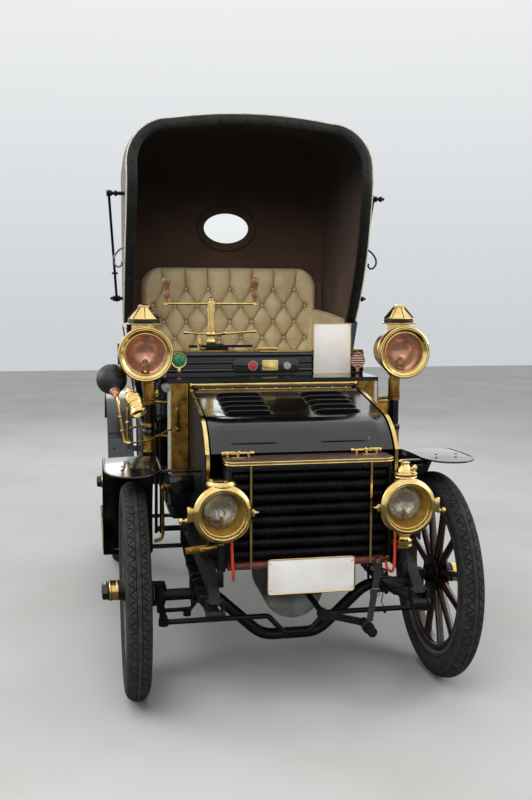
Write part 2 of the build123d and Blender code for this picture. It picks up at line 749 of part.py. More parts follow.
lid_half = bonnet_half - lid_gap
with BuildPart() as bonnet_lid:
    with BuildSketch(Plane.YZ):
        with BuildLine():
            bonnet_edge(0)
            Line((bonnet_front[0], bonnet_front[1]), (bonnet_front[0] + bonnet_skin, bonnet_front[1]))
            ThreePointArc(
                (bonnet_front[0] + bonnet_skin, bonnet_front[1]),
                (front_axle_y - 170 + bonnet_skin * 0.7, 1014 - bonnet_skin * 0.7),
                (bonnet_knee[0], bonnet_knee[1] - bonnet_skin),
            )
            Line((bonnet_knee[0], bonnet_knee[1] - bonnet_skin), (bonnet_rear, bonnet_rear_z - bonnet_skin))
            Line((bonnet_rear, bonnet_rear_z - bonnet_skin), (bonnet_rear, bonnet_rear_z))
        make_face()
    extrude(amount=lid_half, both=True)
    # two groups of pressed louvres, open towards the front, each row a little nearer the middle than the last
    slope = atan2(bonnet_rear_z - bonnet_knee[1], bonnet_rear - bonnet_knee[0])
    for s in (-1, 1):
        for row in range(louvre_rows):
            y = bonnet_rear - louvre_first - row * louvre_pitch
            z = bonnet_rear_z + (y - bonnet_rear) * sin(slope) / cos(slope)
            x = s * (louvre_x - row * louvre_drift)
            with BuildSketch(Plane.YZ.offset(x)):
                with BuildLine():
                    Polyline((y + 16, z + 16 * slope - 2), (y - 14, z - 14 * slope - 2), (y - 14, z - 14 * slope + 9))
                    ThreePointArc((y - 14, z - 14 * slope + 9), (y + 2, z + 8), (y + 16, z + 16 * slope - 2))
                make_face()
            extrude(amount=louvre_half, both=True)
            with BuildSketch(Plane.YZ.offset(x)):
                with BuildLine():
                    Polyline((y + 8, z + 8 * slope), (y - 15, z - 14 * slope), (y - 15, z - 14 * slope + 6))
                    ThreePointArc((y - 15, z - 14 * slope + 6), (y - 2, z + 5), (y + 8, z + 8 * slope))
                make_face()
            extrude(amount=louvre_half - 4, both=True, mode=Mode.SUBTRACT)
    # the hinge's barrel
    with Locations(Location((0, bonnet_rear, bonnet_rear_z + hinge_radius / 2 + 0.5), (0, 90, 0))):
        Cylinder(hinge_radius, 2 * lid_half)
finish(bonnet_lid, "bonnet_lid")

# Brass edging along the top of the bonnet sides
with BuildPart() as bonnet_edging:
    for x in both(bonnet_half + bonnet_side / 2):
        with BuildSketch(Plane.YZ.offset(x)):
            with BuildLine():
                bonnet_edge(-fit_gap)
                bonnet_edge(-edging_thickness)
                Line((bonnet_rear, bonnet_rear_z + fit_gap), (bonnet_rear, bonnet_rear_z + edging_thickness))
                Line(
                    (bonnet_front[0] - fit_gap, bonnet_front[1]),
                    (bonnet_front[0] - edging_thickness, bonnet_front[1]),
                )
            make_face()
        extrude(amount=bonnet_side / 2 - 1, both=True)
finish(bonnet_edging, "bonnet_edging")


# Dashboard: front board, ledge, and the moulded panel that stands on it
with BuildPart() as dashboard:
    with Locations((0, dash_front + dash_board / 2, (ledge_z + rail_top + fit_gap) / 2)):
        Box(2 * dash_half, dash_board, ledge_z - rail_top - fit_gap)
    with Locations((0, dash_front - 6 + ledge_depth / 2, ledge_z + ledge_thickness / 2)):
        Box(2 * dash_half + 20, ledge_depth + 12, ledge_thickness)
    panel_y = dash_front + ledge_depth - panel_thickness / 2
    with Locations((0, panel_y, ledge_z + ledge_thickness + panel_height / 2)):
        Box(2 * dash_half, panel_thickness, panel_height)
    for z, radius in ((18, 9), (52, 7), (84, 10)):
        with Locations(
            Location((0, panel_y - panel_thickness / 2, ledge_z + ledge_thickness + z), (0, 90, 0))
        ):
            Cylinder(radius, 2 * dash_half)
    for x in both(dash_half - wall / 2):
        side_bottom = rail_top + floor_thickness + 2 * fit_gap
        with Locations((x, dash_front + (dash_board + ledge_depth) / 2, (ledge_z + side_bottom) / 2)):
            Box(wall, ledge_depth - dash_board, ledge_z - side_bottom)
    # the lower corners stand back from the tyre of a turned front wheel
    for x in both(dash_half):
        with Locations((x, dash_front, engine_box_bottom)):
            Box(20, 250, 100, mode=Mode.SUBTRACT)
finish(dashboard, "dashboard")

with BuildPart() as dash_trim:
    # corner plates beside the bonnet, the strip along its hinge line, and the strip on the panel's top
    corner_width = dash_half - bonnet_half - bonnet_side - 2
    corner_x = dash_half - corner_width / 2
    for x in both(corner_x):
        with Locations((x, dash_front - 2 - fit_gap, (ledge_z + 760) / 2)):
            Box(corner_width, 4, ledge_z - 760 - 2 * fit_gap)
    panel_top = ledge_z + ledge_thickness + panel_height
    with Locations((0, panel_y, panel_top + fit_gap + 3)):
        Box(2 * dash_half, panel_thickness + 4, 6)
finish(dash_trim, "dash_trim")


# Body: floor, sills, seat box and its sides, back panel and tail
with BuildPart() as body_tub:
    floor_top = rail_top + fit_gap + floor_thickness
    floor_front = dash_front + dash_board + fit_gap
    with Locations((0, (floor_front + tail_rear) / 2, floor_top - floor_thickness / 2)):
        Box(2 * body_half, tail_rear - floor_front, floor_thickness)
    with Locations((column_x, column_y, floor_top)):
        Cylinder(column_radius + 1, 3 * floor_thickness, mode=Mode.SUBTRACT)
    sill_front = dash_front + ledge_depth + fit_gap
    for x in both(body_half - wall / 2):
        with Locations((x, (sill_front + seat_front) / 2, floor_top + sill_height / 2)):
            Box(wall, seat_front - sill_front, sill_height)
    # seat box
    with Locations((0, (seat_front + seat_rear) / 2, (floor_top + seat_box_top) / 2)):
        Box(2 * seat_box_half, seat_rear - seat_front, seat_box_top - floor_top)
    with Locations((0, (seat_front + seat_rear) / 2, (floor_top + seat_box_top) / 2)):
        Box(
            2 * (seat_box_half - wall),
            seat_rear - seat_front - 2 * wall,
            seat_box_top - floor_top - 2 * wall,
            mode=Mode.SUBTRACT,
        )
    # seat sides flare outwards to the arm rails
    for s in (-1, 1):
        with BuildSketch(Plane.XZ.offset(-seat_front - 60)):
            with BuildLine():
                Polyline(
                    (s * (seat_box_half - wall), seat_box_top),
                    (s * seat_box_half, seat_box_top),
                    (s * arm_half, arm_top),
                    (s * (arm_half - wall - 8), arm_top),
                    (s * (seat_box_half - wall), seat_box_top),
                )
            make_face()
        extrude(amount=-(seat_rear - seat_front - 60))
    # back panel behind the cushion
    with BuildSketch(Plane.XZ.offset(-seat_rear + wall)):
        with BuildLine():
            Polyline(
                (-seat_box_half, seat_box_top),
                (seat_box_half, seat_box_top),
                (arm_half - 44, arm_top),
                (arm_half - 52, back_top - 70),
                (-arm_half + 52, back_top - 70),
                (-arm_half + 44, arm_top),
                (-seat_box_half, seat_box_top),
            )
        make_face()
    extrude(amount=-wall)
    # tail
    with BuildSketch(Plane.YZ):
        with BuildLine():
            Polyline(
                (seat_rear, floor_top),
                (tail_rear, floor_top),
                (tail_rear, tail_top - 150),
            )
            ThreePointArc(
                (tail_rear, tail_top - 150), (tail_rear - 44, tail_top - 44), (tail_rear - 150, tail_top)
            )
            Polyline((tail_rear - 150, tail_top), (seat_rear, tail_top), (seat_rear, floor_top))
        make_face()
    extrude(amount=seat_box_half - 20, both=True)
    with Locations((0, (seat_rear + tail_rear - 44) / 2, (floor_top + tail_top - 44) / 2)):
        Box(
            2 * (seat_box_half - 20 - wall),
            tail_rear - 44 - seat_rear - wall,
            tail_top - 44 - floor_top - wall,
            mode=Mode.SUBTRACT,
        )
finish(body_tub, "body_tub")

# Seat: cushion, tufted back and side pads
seat_back_half = seat_box_half - 26
with BuildPart() as seat_cushion:
    with Locations(
        (
            0,
            (seat_front + seat_rear - wall - back_thickness) / 2 - 10,
            seat_box_top + fit_gap + cushion_height / 2,
        )
    ):
        Box(2 * (seat_box_half - wall) - 4, seat_rear - seat_front - wall - back_thickness - 40, cushion_height)
    fillet(edges().group_by(Axis.Z)[-1], 30)
finish(seat_cushion, "seat_cushion")

with BuildPart() as seat_back:
    with BuildSketch(Plane.XZ.offset(-(seat_rear - wall - fit_gap))):
        with BuildLine():
            Polyline(
                (4 - seat_back_half, seat_box_top + fit_gap),
                (seat_back_half - 4, seat_box_top + fit_gap),
                (seat_back_half, back_top - 110),
            )
            ThreePointArc(
                (seat_back_half, back_top - 110), (seat_back_half - 32, back_top - 32), (seat_back_half - 110, back_top)
            )
            Line((seat_back_half - 110, back_top), (110 - seat_back_half, back_top))
            ThreePointArc(
                (110 - seat_back_half, back_top), (32 - seat_back_half, back_top - 32), (-seat_back_half, back_top - 110)
            )
            Line((-seat_back_half, back_top - 110), (4 - seat_back_half, seat_box_top + fit_gap))
        make_face()
    extrude(amount=back_thickness)
finish(seat_back, "seat_back")

with BuildPart() as seat_arms:
    for s in (-1, 1):
        with BuildSketch(Plane.XZ.offset(-seat_front - 70)):
            with BuildLine():
                low = seat_box_top + cushion_height + 6
                share = (low - seat_box_top) / (arm_top - seat_box_top)
                inner_low = seat_box_half - wall + share * (arm_half - 8 - seat_box_half)
                Polyline(
                    (s * (inner_low - fit_gap), low),
                    (s * (arm_half - wall - 8 - fit_gap), arm_top),
                    (s * (arm_half - wall - 8 - arm_pad), arm_top),
                    (s * (inner_low - arm_pad), low),
                    (s * (inner_low - fit_gap), low),
                )
            make_face()
        extrude(amount=-(seat_rear - seat_front - 80 - wall - back_thickness))
finish(seat_arms, "seat_arms")


# Hood: leather over bows, lofted through arch sections, open at the front
hood_stations = (
    # distance behind the front axle, half width, crown height, corner radius
    (790, hood_half - 15, 2296, 190),
    (960, hood_half - 2, 2340, 205),
    (1150, hood_half, 2364, 225),
    (1330, hood_half, 2361, 240),
    (1470, hood_half - 3, 2328, 250),
    (1570, hood_half - 10, 2277, 255),
    (1640, hood_half - 21, 2212, 255),
    (1676, hood_half - 33, 2150, 250),
    (1690, hood_half - 45, 2096, 240),
)
crown = 30


def hood_volume(inset, back_shift):
    """The hood as a solid: arches with upright sides, round corners and a slightly crowned top."""
    with BuildPart() as volume:
        for i, (y, half, top, corner) in enumerate(hood_stations):
            station = front_axle_y + y
            if i == len(hood_stations) - 1:
                station -= back_shift
            half, top, corner = half - inset, top - inset, corner - inset / 2
            bottom = hood_bottom - 400
            bend = corner * (1 - cos(radians(45)))
            with BuildSketch(Plane.XZ.offset(-station)):
                with BuildLine():
                    Line((-half, bottom), (-half, top - crown - corner))
                    ThreePointArc(
                        (-half, top - crown - corner),
                        (-half + bend, top - crown - bend),
                        (-half + corner, top - crown),
                    )
                    ThreePointArc((-half + corner, top - crown), (0, top), (half - corner, top - crown))
                    ThreePointArc(
                        (half - corner, top - crown),
                        (half - bend, top - crown - bend),
                        (half, top - crown - corner),
                    )
                    Line((half, top - crown - corner), (half, bottom))
                    Line((half, bottom), (-half, bottom))
                make_face()
        loft(ruled=True)
    return volume.part


hood_front_foot = (front_axle_y + 1150, hood_bottom)
hood_front_belly = (front_axle_y + 905, 1810)
hood_front_shoulder = (front_axle_y + 846, 2020)
hood_front_top = (front_axle_y + 884, 2420)
with BuildPart() as hood_leather:
    add(hood_volume(0, 0))
    with BuildSketch(Plane.YZ) as hood_side:
        with BuildLine():
            ThreePointArc(hood_front_foot, hood_front_belly, hood_front_shoulder)
            Polyline(
                hood_front_shoulder,
                hood_front_top,
                (front_axle_y + 1760, 2420),
                (front_axle_y + 1760, 1300),
                (seat_rear + fit_gap, 1300),
                (seat_rear + fit_gap, hood_bottom),
                hood_front_foot,
            )
        make_face()
    extrude(amount=700, both=True, mode=Mode.INTERSECT)
    add(hood_volume(hood_wall, hood_wall), mode=Mode.SUBTRACT)
    with BuildSketch(Plane.XZ.offset(-(front_axle_y + 1800))):
        with Locations((0, window_z)):
            Ellipse(*window_half)
    extrude(amount=300, mode=Mode.SUBTRACT)
finish(hood_leather, "hood_leather")

# Hood irons: a joint iron outside the front bow on each side, held by three studs
iron_x = hood_half + 63
iron_top = (front_axle_y + 866, 1962)
iron_foot = (front_axle_y + 1095, 1484)
with BuildPart() as hood_irons:
    for s in (-1, 1):
        for y, z in (iron_top, iron_foot):
            with Locations(Location((s * (hood_half + iron_x + 12) / 2, y + 40, z), (0, 90, 0))):
                Cylinder(9, iron_x + 12 - hood_half - 2 * fit_gap)
        length = sqrt((iron_top[0] - iron_foot[0]) ** 2 + (iron_top[1] - iron_foot[1]) ** 2)
        tilt = degrees(atan2(iron_foot[0] - iron_top[0], iron_top[1] - iron_foot[1]))
        middle = ((iron_top[0] + iron_foot[0]) / 2 + 40, (iron_top[1] + iron_foot[1]) / 2)
        with Locations(Location((s * iron_x, *middle), (tilt, 0, 0))):
            Cylinder(6, length)
finish(hood_irons, "hood_irons")


# Wings: sheet swept over the wheels, with stays to the body
def front_wing_line(offset):
    """The front wing in side view, from its lip to its foot, moved inwards by offset."""
    y, z = wing_crest
    r = wing_sweep - offset
    Line((wing_lip_y, wing_lip_z - offset), (y, z - offset))
    ThreePointArc(
        (y, z - offset),
        (y + r * sin(radians(45)), z - wing_sweep + r * cos(radians(45))),
        (y + r, z - wing_sweep),
    )
    Line((y + r, z - wing_sweep), (y + r, wing_bottom + fit_gap))


with BuildPart() as front_wings:
    for s in (-1, 1):
        with BuildSketch(Plane.YZ.offset(s * wing_inner)):
            with BuildLine():
                front_wing_line(0)
                front_wing_line(sheet)
                Line((wing_lip_y, wing_lip_z), (wing_lip_y, wing_lip_z - sheet))
                Line(
                    (wing_crest[0] + wing_sweep, wing_bottom + fit_gap),
                    (wing_crest[0] + wing_sweep - sheet, wing_bottom + fit_gap),
                )
            make_face()
        extrude(amount=s * (wing_outer - wing_inner))
        # a flange stiffens the inner edge
        with BuildSketch(Plane.YZ.offset(s * wing_inner)):
            with BuildLine():
                front_wing_line(0)
                front_wing_line(wing_flange)
                Line((wing_lip_y, wing_lip_z), (wing_lip_y, wing_lip_z - wing_flange))
                Line(
                    (wing_crest[0] + wing_sweep, wing_bottom + fit_gap),
                    (wing_crest[0] + wing_sweep - wing_flange, wing_bottom + fit_gap),
                )
            make_face()
        extrude(amount=s * sheet)
        # stays from the bonnet side and the dash side to the wing's inner edge
        stay_y = front_axle_y - 70
        stay_inner = bonnet_half + bonnet_side + fit_gap
        with Locations((s * (stay_inner + wing_outer - 40) / 2, stay_y, wing_lip_z - sheet - 4)):
            Box(wing_outer - 40 - stay_inner, 26, 12)
        stay_inner = dash_half + fit_gap
        with Locations((s * (stay_inner + wing_outer - 40) / 2, dash_front + 40, wing_lip_z - 98)):
            Box(wing_outer - 40 - stay_inner, 26, 12)
finish(front_wings, "front_wings")

rear_wing_start = 184.6
rear_wing_end = 36


def rear_wing_arc(radius):
    """Draws the rear wing's line in side view at one radius and returns its two ends."""
    angles = [radians(a) for a in (rear_wing_start, (rear_wing_start + rear_wing_end) / 2, rear_wing_end)]
    points = [(rear_axle_y + radius * cos(a), rear_wheel_z + radius * sin(a)) for a in angles]
    ThreePointArc(*points)
    return points[0], points[2]


with BuildPart() as rear_wings:
    for s in (-1, 1):
        for depth, width in ((sheet, rear_wing_outer - rear_wing_inner), (wing_flange, sheet)):
            with BuildSketch(Plane.YZ.offset(s * rear_wing_inner)):
                with BuildLine():
                    outer = rear_wing_arc(rear_wing_radius)
                    inner = rear_wing_arc(rear_wing_radius - depth)
                    Line(outer[0], inner[0])
                    Line(outer[1], inner[1])
                make_face()
            extrude(amount=s * width)
        # stays from the tail and the seat box
        for degrees_up, inner in ((95, seat_box_half - 20), (150, seat_box_half)):
            angle = radians(degrees_up)
            reach = rear_wing_radius - sheet - 5
            y, z = rear_axle_y + reach * cos(angle), rear_wheel_z + reach * sin(angle)
            stay_inner = inner + fit_gap
            stay_outer = rear_wing_outer - 30
            with Locations(Location((s * (stay_inner + stay_outer) / 2, y, z), (degrees_up - 90, 0, 0))):
                Box(stay_outer - stay_inner, 26, 12)
finish(rear_wings, "rear_wings")

with BuildPart() as running_boards:
    board_front = wing_crest[0] + wing_sweep + fit_gap
    board_rear = rear_axle_y - rear_wing_radius - fit_gap
    for s in (-1, 1):
        with Locations(
            (s * (wing_inner + wing_outer) / 2, (board_front + board_rear) / 2, running_board_z + 12)
        ):
            Box(wing_outer - wing_inner, board_rear - board_front, running_board_thickness)
        for y in (board_front + 120, board_rear - 140):
            bracket_inner = rail_x - rail_width / 2
            with Locations((s * (bracket_inner + wing_outer - 60) / 2, y, running_board_z - 6 - fit_gap)):
                Box(wing_outer - 60 - bracket_inner, 30, 12)
            with Locations((s * (bracket_inner + 10), y, (running_board_z + rail_bottom) / 2 - 6)):
                Box(20, 30, rail_bottom - running_board_z + 12 - 2 * fit_gap)
finish(running_boards, "running_boards")


# Lamps: turned brass bodies with a bowl behind the glass. x is the lamp's middle, face the front of its ring
def make_lamp_body(x, face, z, ring_radius, bowl_radius, drum_radius, back_radius, depth, bowl_depth):
    with BuildPart() as body:
        with BuildSketch(Plane.XY):
            with BuildLine():
                Polyline((x, face + depth), (x, face + bowl_depth))
                ThreePointArc(
                    (x, face + bowl_depth),
                    (x + bowl_radius * 0.72, face + bowl_depth * 0.66),
                    (x + bowl_radius, face + 14),
                )
                Polyline(
                    (x + bowl_radius, face + 14),
                    (x + bowl_radius, face),
                    (x + ring_radius - 6, face),
                    (x + ring_radius, face + 6),
                    (x + ring_radius, face + 26),
                    (x + drum_radius, face + 26),
                    (x + drum_radius, face + 26 + (depth - 26) * 0.4),
                    (x + back_radius, face + depth),
                    (x, face + depth),
                )
            make_face()
        revolve(axis=Axis((x, 0, 0), (0, 1, 0)))
        # the burner stands in the bowl
        with Locations((x, face + bowl_depth * 0.6, -bowl_radius * 0.45)):
            Cylinder(5, bowl_radius * 0.9)
    return body.part.moved(Location((0, 0, z)))


with BuildPart() as headlamps:
    for x in both(headlamp_x):
        side = 1 if x > 0 else -1
        add(
            make_lamp_body(
                x, headlamp_face, headlamp_z, headlamp_radius, headlamp_radius - 24, headlamp_radius - 12, 40,
                headlamp_depth, headlamp_depth - 14,
            )
        )
        # chimney: a collar, a waist and a cap
        for radius, low, high in ((24, -12, 14), (31, 14, 24), (20, 24, 40)):
            with Locations((x, headlamp_face + 46, headlamp_z + headlamp_radius + (low + high) / 2)):
                Cylinder(radius, high - low)
        # hinge and wing nuts at the ring's sides
        for offset in both(headlamp_radius + 9):
            with Locations(Location((x + offset, headlamp_face + 15, headlamp_z), (0, 90, 0))):
                Cylinder(7, 30)
        # the nipple that the gas hose is pushed onto
        with Locations((x - side * 34, headlamp_face + 36, headlamp_z - headlamp_radius + 14)):
            Cylinder(7, 22)
        post_bottom_z = rail_top - 14
        with Locations((x, headlamp_face + 45, (post_bottom_z + headlamp_z - headlamp_radius + 24) / 2)):
            Cylinder(16, headlamp_z - headlamp_radius + 24 - post_bottom_z)
        for z in (headlamp_z - headlamp_radius - 18, headlamp_z - headlamp_radius - 46):
            with Locations((x, headlamp_face + 45, z)):
                Cylinder(25, 12)
        plate_face = rail_x - rail_width / 2 - fit_gap
        with Locations((side * (plate_face - 9), headlamp_face + 45, rail_top - 38)):
            Box(18, 36, 60)
finish(headlamps, "headlamps")

with BuildPart() as dash_lamps:
    for x in both(dash_lamp_x):
        side = 1 if x > 0 else -1
        add(
            make_lamp_body(
                x, dash_lamp_face, dash_lamp_z, dash_lamp_radius, dash_lamp_radius - 26, dash_lamp_radius - 12, 84,
                dash_lamp_depth, dash_lamp_depth - 40,
            )
        )
        # chimney: eight-sided throat, brim and cone
        chimney_y = dash_lamp_face + 80
        crown_z = dash_lamp_z + dash_lamp_radius
        with BuildSketch(Plane.XY.offset(crown_z - 16)):
            with Locations((x, chimney_y)):
                RegularPolygon(51, 8)
        extrude(amount=22)
        with BuildSketch(Plane.XY.offset(crown_z + 6)):
            with Locations((x, chimney_y)):
                RegularPolygon(75, 8)
        extrude(amount=8)
        with BuildSketch(Plane.XY.offset(crown_z + 14)):
            with Locations((x, chimney_y)):
                RegularPolygon(64, 8)
        extrude(amount=14)
        with BuildSketch(Plane.XY.offset(crown_z + 28)):
            with Locations((x, chimney_y)):
                RegularPolygon(66, 8)
        with BuildSketch(Plane.XY.offset(crown_z + 80)):
            with Locations((x, chimney_y)):
                RegularPolygon(19, 8)
        loft()
        # side door with its hinge, on the outer side
        with Locations((x + side * (dash_lamp_radius - 10), dash_lamp_face + 70, dash_lamp_z)):
            Box(8, 56, 66)
        post_y = dash_lamp_face + 80
        post_x = x * (dash_lamp_x - 16) / dash_lamp_x
        arm_y = dash_front + dash_board / 2
        post_top = dash_lamp_z - dash_lamp_radius + 22
        with Locations((post_x, post_y, (post_bottom + post_top) / 2)):
            Cylinder(post_radius - 3, post_top - post_bottom)
        for low, high in ((post_bottom, post_bottom + 62), (post_top - 110, post_top - 6)):
            with Locations((post_x, post_y, (low + high) / 2)):
                Cylinder(post_radius, high - low)
        arm_end = (dash_half + fit_gap) * side
        for z in (1072, 934):
            with Locations(Location(((post_x + arm_end) / 2, arm_y, z), (0, 90, 0))):
                Cylinder(6, abs(post_x - arm_end))
finish(dash_lamps, "dash_lamps")

with BuildPart() as lamp_glasses:
    for x in both(headlamp_x):
        with Locations(Location((x, headlamp_face + 8, headlamp_z), (90, 0, 0))):
            Cylinder(headlamp_radius - 24 - fit_gap, glass_thickness)
    for x in both(dash_lamp_x):
        with Locations(Location((x, dash_lamp_face + 8, dash_lamp_z), (90, 0, 0))):
            Cylinder(dash_lamp_radius - 26 - fit_gap, glass_thickness)
finish(lamp_glasses, "lamp_glasses")


# Bulb horn: a brass tube that doubles back to its bell, and the rubber bulb behind the lamp
with BuildPart() as horn:
    with BuildLine() as horn_path:
        FilletPolyline(
            (horn_x + 10, horn_y - 50, horn_bulb_z - 44),
            (horn_x + 22, horn_y - 110, 1110),
            (horn_x + 40, horn_y - 118, 930),
            (horn_x + 54, horn_y - 122, 930),
            (horn_x + 62, horn_y - 122, 1072),
            (horn_x + 66, horn_y - 150, 1086),
            radius=6,
        )
    with BuildSketch(Plane(horn_path.line @ 0, z_dir=horn_path.line % 0)):
        Circle(7)
    sweep()
    with Locations(Location((horn_x + 68, horn_y - 176, 1086), (90, 0, 0))):
        Cone(20, 40, 64)
    with Locations(Location((horn_x + 68, horn_y - 182, 1086), (90, 0, 0))):
        Cone(12, 38, 62, mode=Mode.SUBTRACT)
    # bracket to the lamp post
    bracket_start, bracket_end = (horn_x + 34, horn_y - 118), (-dash_lamp_x + 16 - 5, dash_lamp_face + 80 - 25)
    bracket_length = sqrt((bracket_end[0] - bracket_start[0]) ** 2 + (bracket_end[1] - bracket_start[1]) ** 2)
    bracket_angle = degrees(atan2(bracket_end[1] - bracket_start[1], bracket_end[0] - bracket_start[0]))
    bracket_middle = ((bracket_start[0] + bracket_end[0]) / 2, (bracket_start[1] + bracket_end[1]) / 2)
    with Locations(Location((*bracket_middle, 985), (-90, 90 - bracket_angle, 0))):
        Cylinder(5, bracket_length)
finish(horn, "horn")

with BuildPart() as horn_bulb:
    with Locations((horn_x, horn_y, horn_bulb_z)):
        Sphere(horn_bulb_radius)
    with Locations(Location((horn_x + 8, horn_y - 30, horn_bulb_z - 26), (50, 0, 0))):
        Box(30, 30, 200, mode=Mode.SUBTRACT)
finish(horn_bulb, "horn_bulb")


# Plates: the number plate hung from the radiator's bar, and the event plate on the dash ledge
with BuildPart() as plates:
    with Locations((0, radiator_front - 8, plate_z)):
        Box(plate_size[0], plate_thickness, plate_size[1])
    for x in both(90):
        with Locations((x, radiator_front + 2.85, bottom_bar_z)):
            Box(16, 17.7, 10)
    with Locations((288, panel_y - panel_thickness / 2 - 13, ledge_z + ledge_thickness + fit_gap + rally_size[1] / 2)):
        Box(rally_size[0], plate_thickness, rally_size[1])
finish(plates, "plates")


# Hand levers beside the driver, and the starting handle
with BuildPart() as hand_levers:
    for y, top, x in ((dash_front + 200, 980, -body_half - 26), (dash_front + 200, 940, -body_half - 48)):
        lever_length = top - 480
        lever_lean = 4 if top > 960 else 9
        lever_y = y - sin(radians(lever_lean)) * lever_length / 2
        with Locations(Location((x, lever_y, 480 + lever_length / 2), (lever_lean, 0, 0))):
            Cylinder(7, lever_length)
        with Locations((x, y - sin(radians(lever_lean)) * lever_length, top)):
            Sphere(15)
    lever_foot = (rail_x + rail_width / 2 + fit_gap, body_half + 54)
    with Locations(Location((-sum(lever_foot) / 2, dash_front + 200, 500), (0, 90, 0))):
        Cylinder(12, lever_foot[1] - lever_foot[0])
finish(hand_levers, "hand_levers")

with BuildPart() as starting_handle:
    handle_front = radiator_front - 20
    with Locations(Location((40, (handle_front + crankcase_front) / 2, crank_z), (90, 0, 0))):
        Cylinder(11, crankcase_front - handle_front - 2 * fit_gap)
    arm_dx, arm_dz = 150, -40
    arm_length = sqrt(arm_dx**2 + arm_dz**2)
    arm_angle = degrees(atan2(-arm_dz, arm_dx))
    with Locations(Location((40 + arm_dx / 2, handle_front, crank_z + arm_dz / 2), (0, arm_angle, 0))):
        Box(arm_length, 12, 24)
    with Locations(Location((40, handle_front, crank_z), (90, 0, 0))):
        Cylinder(20, 24)
    with Locations(Location((40 + arm_dx, handle_front - 50, crank_z + arm_dz), (90, 0, 0))):
        Cylinder(17, 110)
finish(starting_handle, "starting_handle")

# Leather strap that ties the handle up to the radiator's lower bar
strap_top = (union_x - 28, radiator_front + 26 - bottom_bar_radius - 6, bottom_bar_z - bottom_bar_radius)
strap_foot = (40 + arm_dx + 2, handle_front - 46, crank_z + arm_dz + 19)
with BuildPart() as handle_strap:
    with BuildLine() as strap_line:
        Line(strap_top, strap_foot)
    with BuildSketch(Plane(strap_line.line @ 0, x_dir=(0, 1, 0.9), z_dir=strap_line.line % 0)):
        Rectangle(14, 3)
    sweep()
finish(handle_strap, "handle_strap")


# Gas hoses: each hangs in a loop from the burner under its headlamp and goes back up to a union on the radiator's bar
def hose_points(s):
    x, y, z = s * (headlamp_x - 34), headlamp_face + 36, headlamp_z - headlamp_radius + 2
    return [
        (x, y, z),
        (x - s * 1, y - 6, z - 61),
        (x - s * 4, y - 9, union_z - 30),
        (s * union_x, union_y, union_z - 30),
        (s * union_x, union_y, union_z),
    ]


def arc_radii(points):
    """The largest arc that each corner's two runs allow. A run between two corners is shared."""
    found = []
    for i, (a, b, c) in enumerate(zip(points, points[1:], points[2:])):
        first, second = Vector(b) - Vector(a), Vector(c) - Vector(b)
        first_share = 0.9 if i == 0 else 0.45
        second_share = 0.9 if i == len(points) - 3 else 0.45
        turn = radians(first.get_angle(second))
        found.append(min(first_share * first.length, second_share * second.length) * cos(turn / 2) / sin(turn / 2))
    return found


hose_radius = 5
for s, label in ((1, "gas_hose_left"), (-1, "gas_hose_right")):
    points = hose_points(s)
    radii = arc_radii(points)
    print(label, "bend radii", [round(r) for r in radii])
    with BuildPart() as hose:
        with BuildLine() as route:
            FilletPolyline(*points, radius=radii)
        with BuildSketch(Plane(route.line @ 0, z_dir=route.line % 0)):
            Circle(hose_radius)
        sweep()
    print(label, "length", round(sum(edge.length for edge in route.line.edges())))
    finish(hose, label)
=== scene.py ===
# %% [markdown]
# This notebook dresses a small car of the brass era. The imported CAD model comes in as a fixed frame: every
# piece made here sits on it and rides with one of its moving bodies. All sizes below are written in
# millimetres, as on a drawing, and become metres only when a mesh is made.

# %% Load the frame
import bmesh
import bpy
import numpy as np
from math import atan2, cos, degrees, pi, radians, sin, sqrt
from mathutils import Euler, Matrix, Vector


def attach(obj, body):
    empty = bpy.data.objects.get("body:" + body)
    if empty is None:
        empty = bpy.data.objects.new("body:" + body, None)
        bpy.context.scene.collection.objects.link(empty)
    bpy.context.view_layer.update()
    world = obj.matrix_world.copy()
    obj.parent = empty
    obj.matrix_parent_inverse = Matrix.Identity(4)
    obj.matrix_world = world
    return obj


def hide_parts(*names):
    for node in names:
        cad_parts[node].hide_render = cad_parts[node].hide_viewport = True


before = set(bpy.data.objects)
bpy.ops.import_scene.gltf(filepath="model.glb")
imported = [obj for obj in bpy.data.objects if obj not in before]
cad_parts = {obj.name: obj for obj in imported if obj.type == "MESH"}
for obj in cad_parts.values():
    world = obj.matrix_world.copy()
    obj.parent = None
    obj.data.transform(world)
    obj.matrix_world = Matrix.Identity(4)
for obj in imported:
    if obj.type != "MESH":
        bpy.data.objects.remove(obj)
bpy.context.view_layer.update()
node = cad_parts

# %% [markdown]
# The camera stands a little to the car's right, at about the eye height of someone who crouches. Its place,
# its tilt and its lens were worked out from the photograph, so the render and the photograph can be laid
# over each other. A turn about the vertical comes first, then the tilt down, then a very small roll.

# %% The camera
tilt_down, turned_right, roll = radians(6.60), radians(10.803), radians(0.214)
lens = bpy.data.cameras.new("camera")
lens.lens = 41.97
lens.sensor_width = 36
lens.sensor_fit = "AUTO"
lens.dof.use_dof = False
camera = bpy.data.objects.new("camera", lens)
turn = Euler((pi / 2 - tilt_down, 0, -turned_right)).to_matrix() @ Matrix.Rotation(roll, 3, "Z")
camera.matrix_world = Matrix.Translation((-0.752, -4.321, 1.517)) @ turn.to_4x4()
bpy.context.scene.collection.objects.link(camera)
bpy.context.scene.camera = camera
print("camera at", tuple(camera.location))

# %% [markdown]
# Two red rubber hoses bring acetylene gas from the frame to the headlamps. Each leaves its lamp's underside,
# hangs down, turns in a slack bend below the radiator's end and climbs onto the gas union there. A hose is a
# curve: a NURBS spline of order 3 glides past its few points the way soft rubber does, and a round bevel
# gives it thickness.

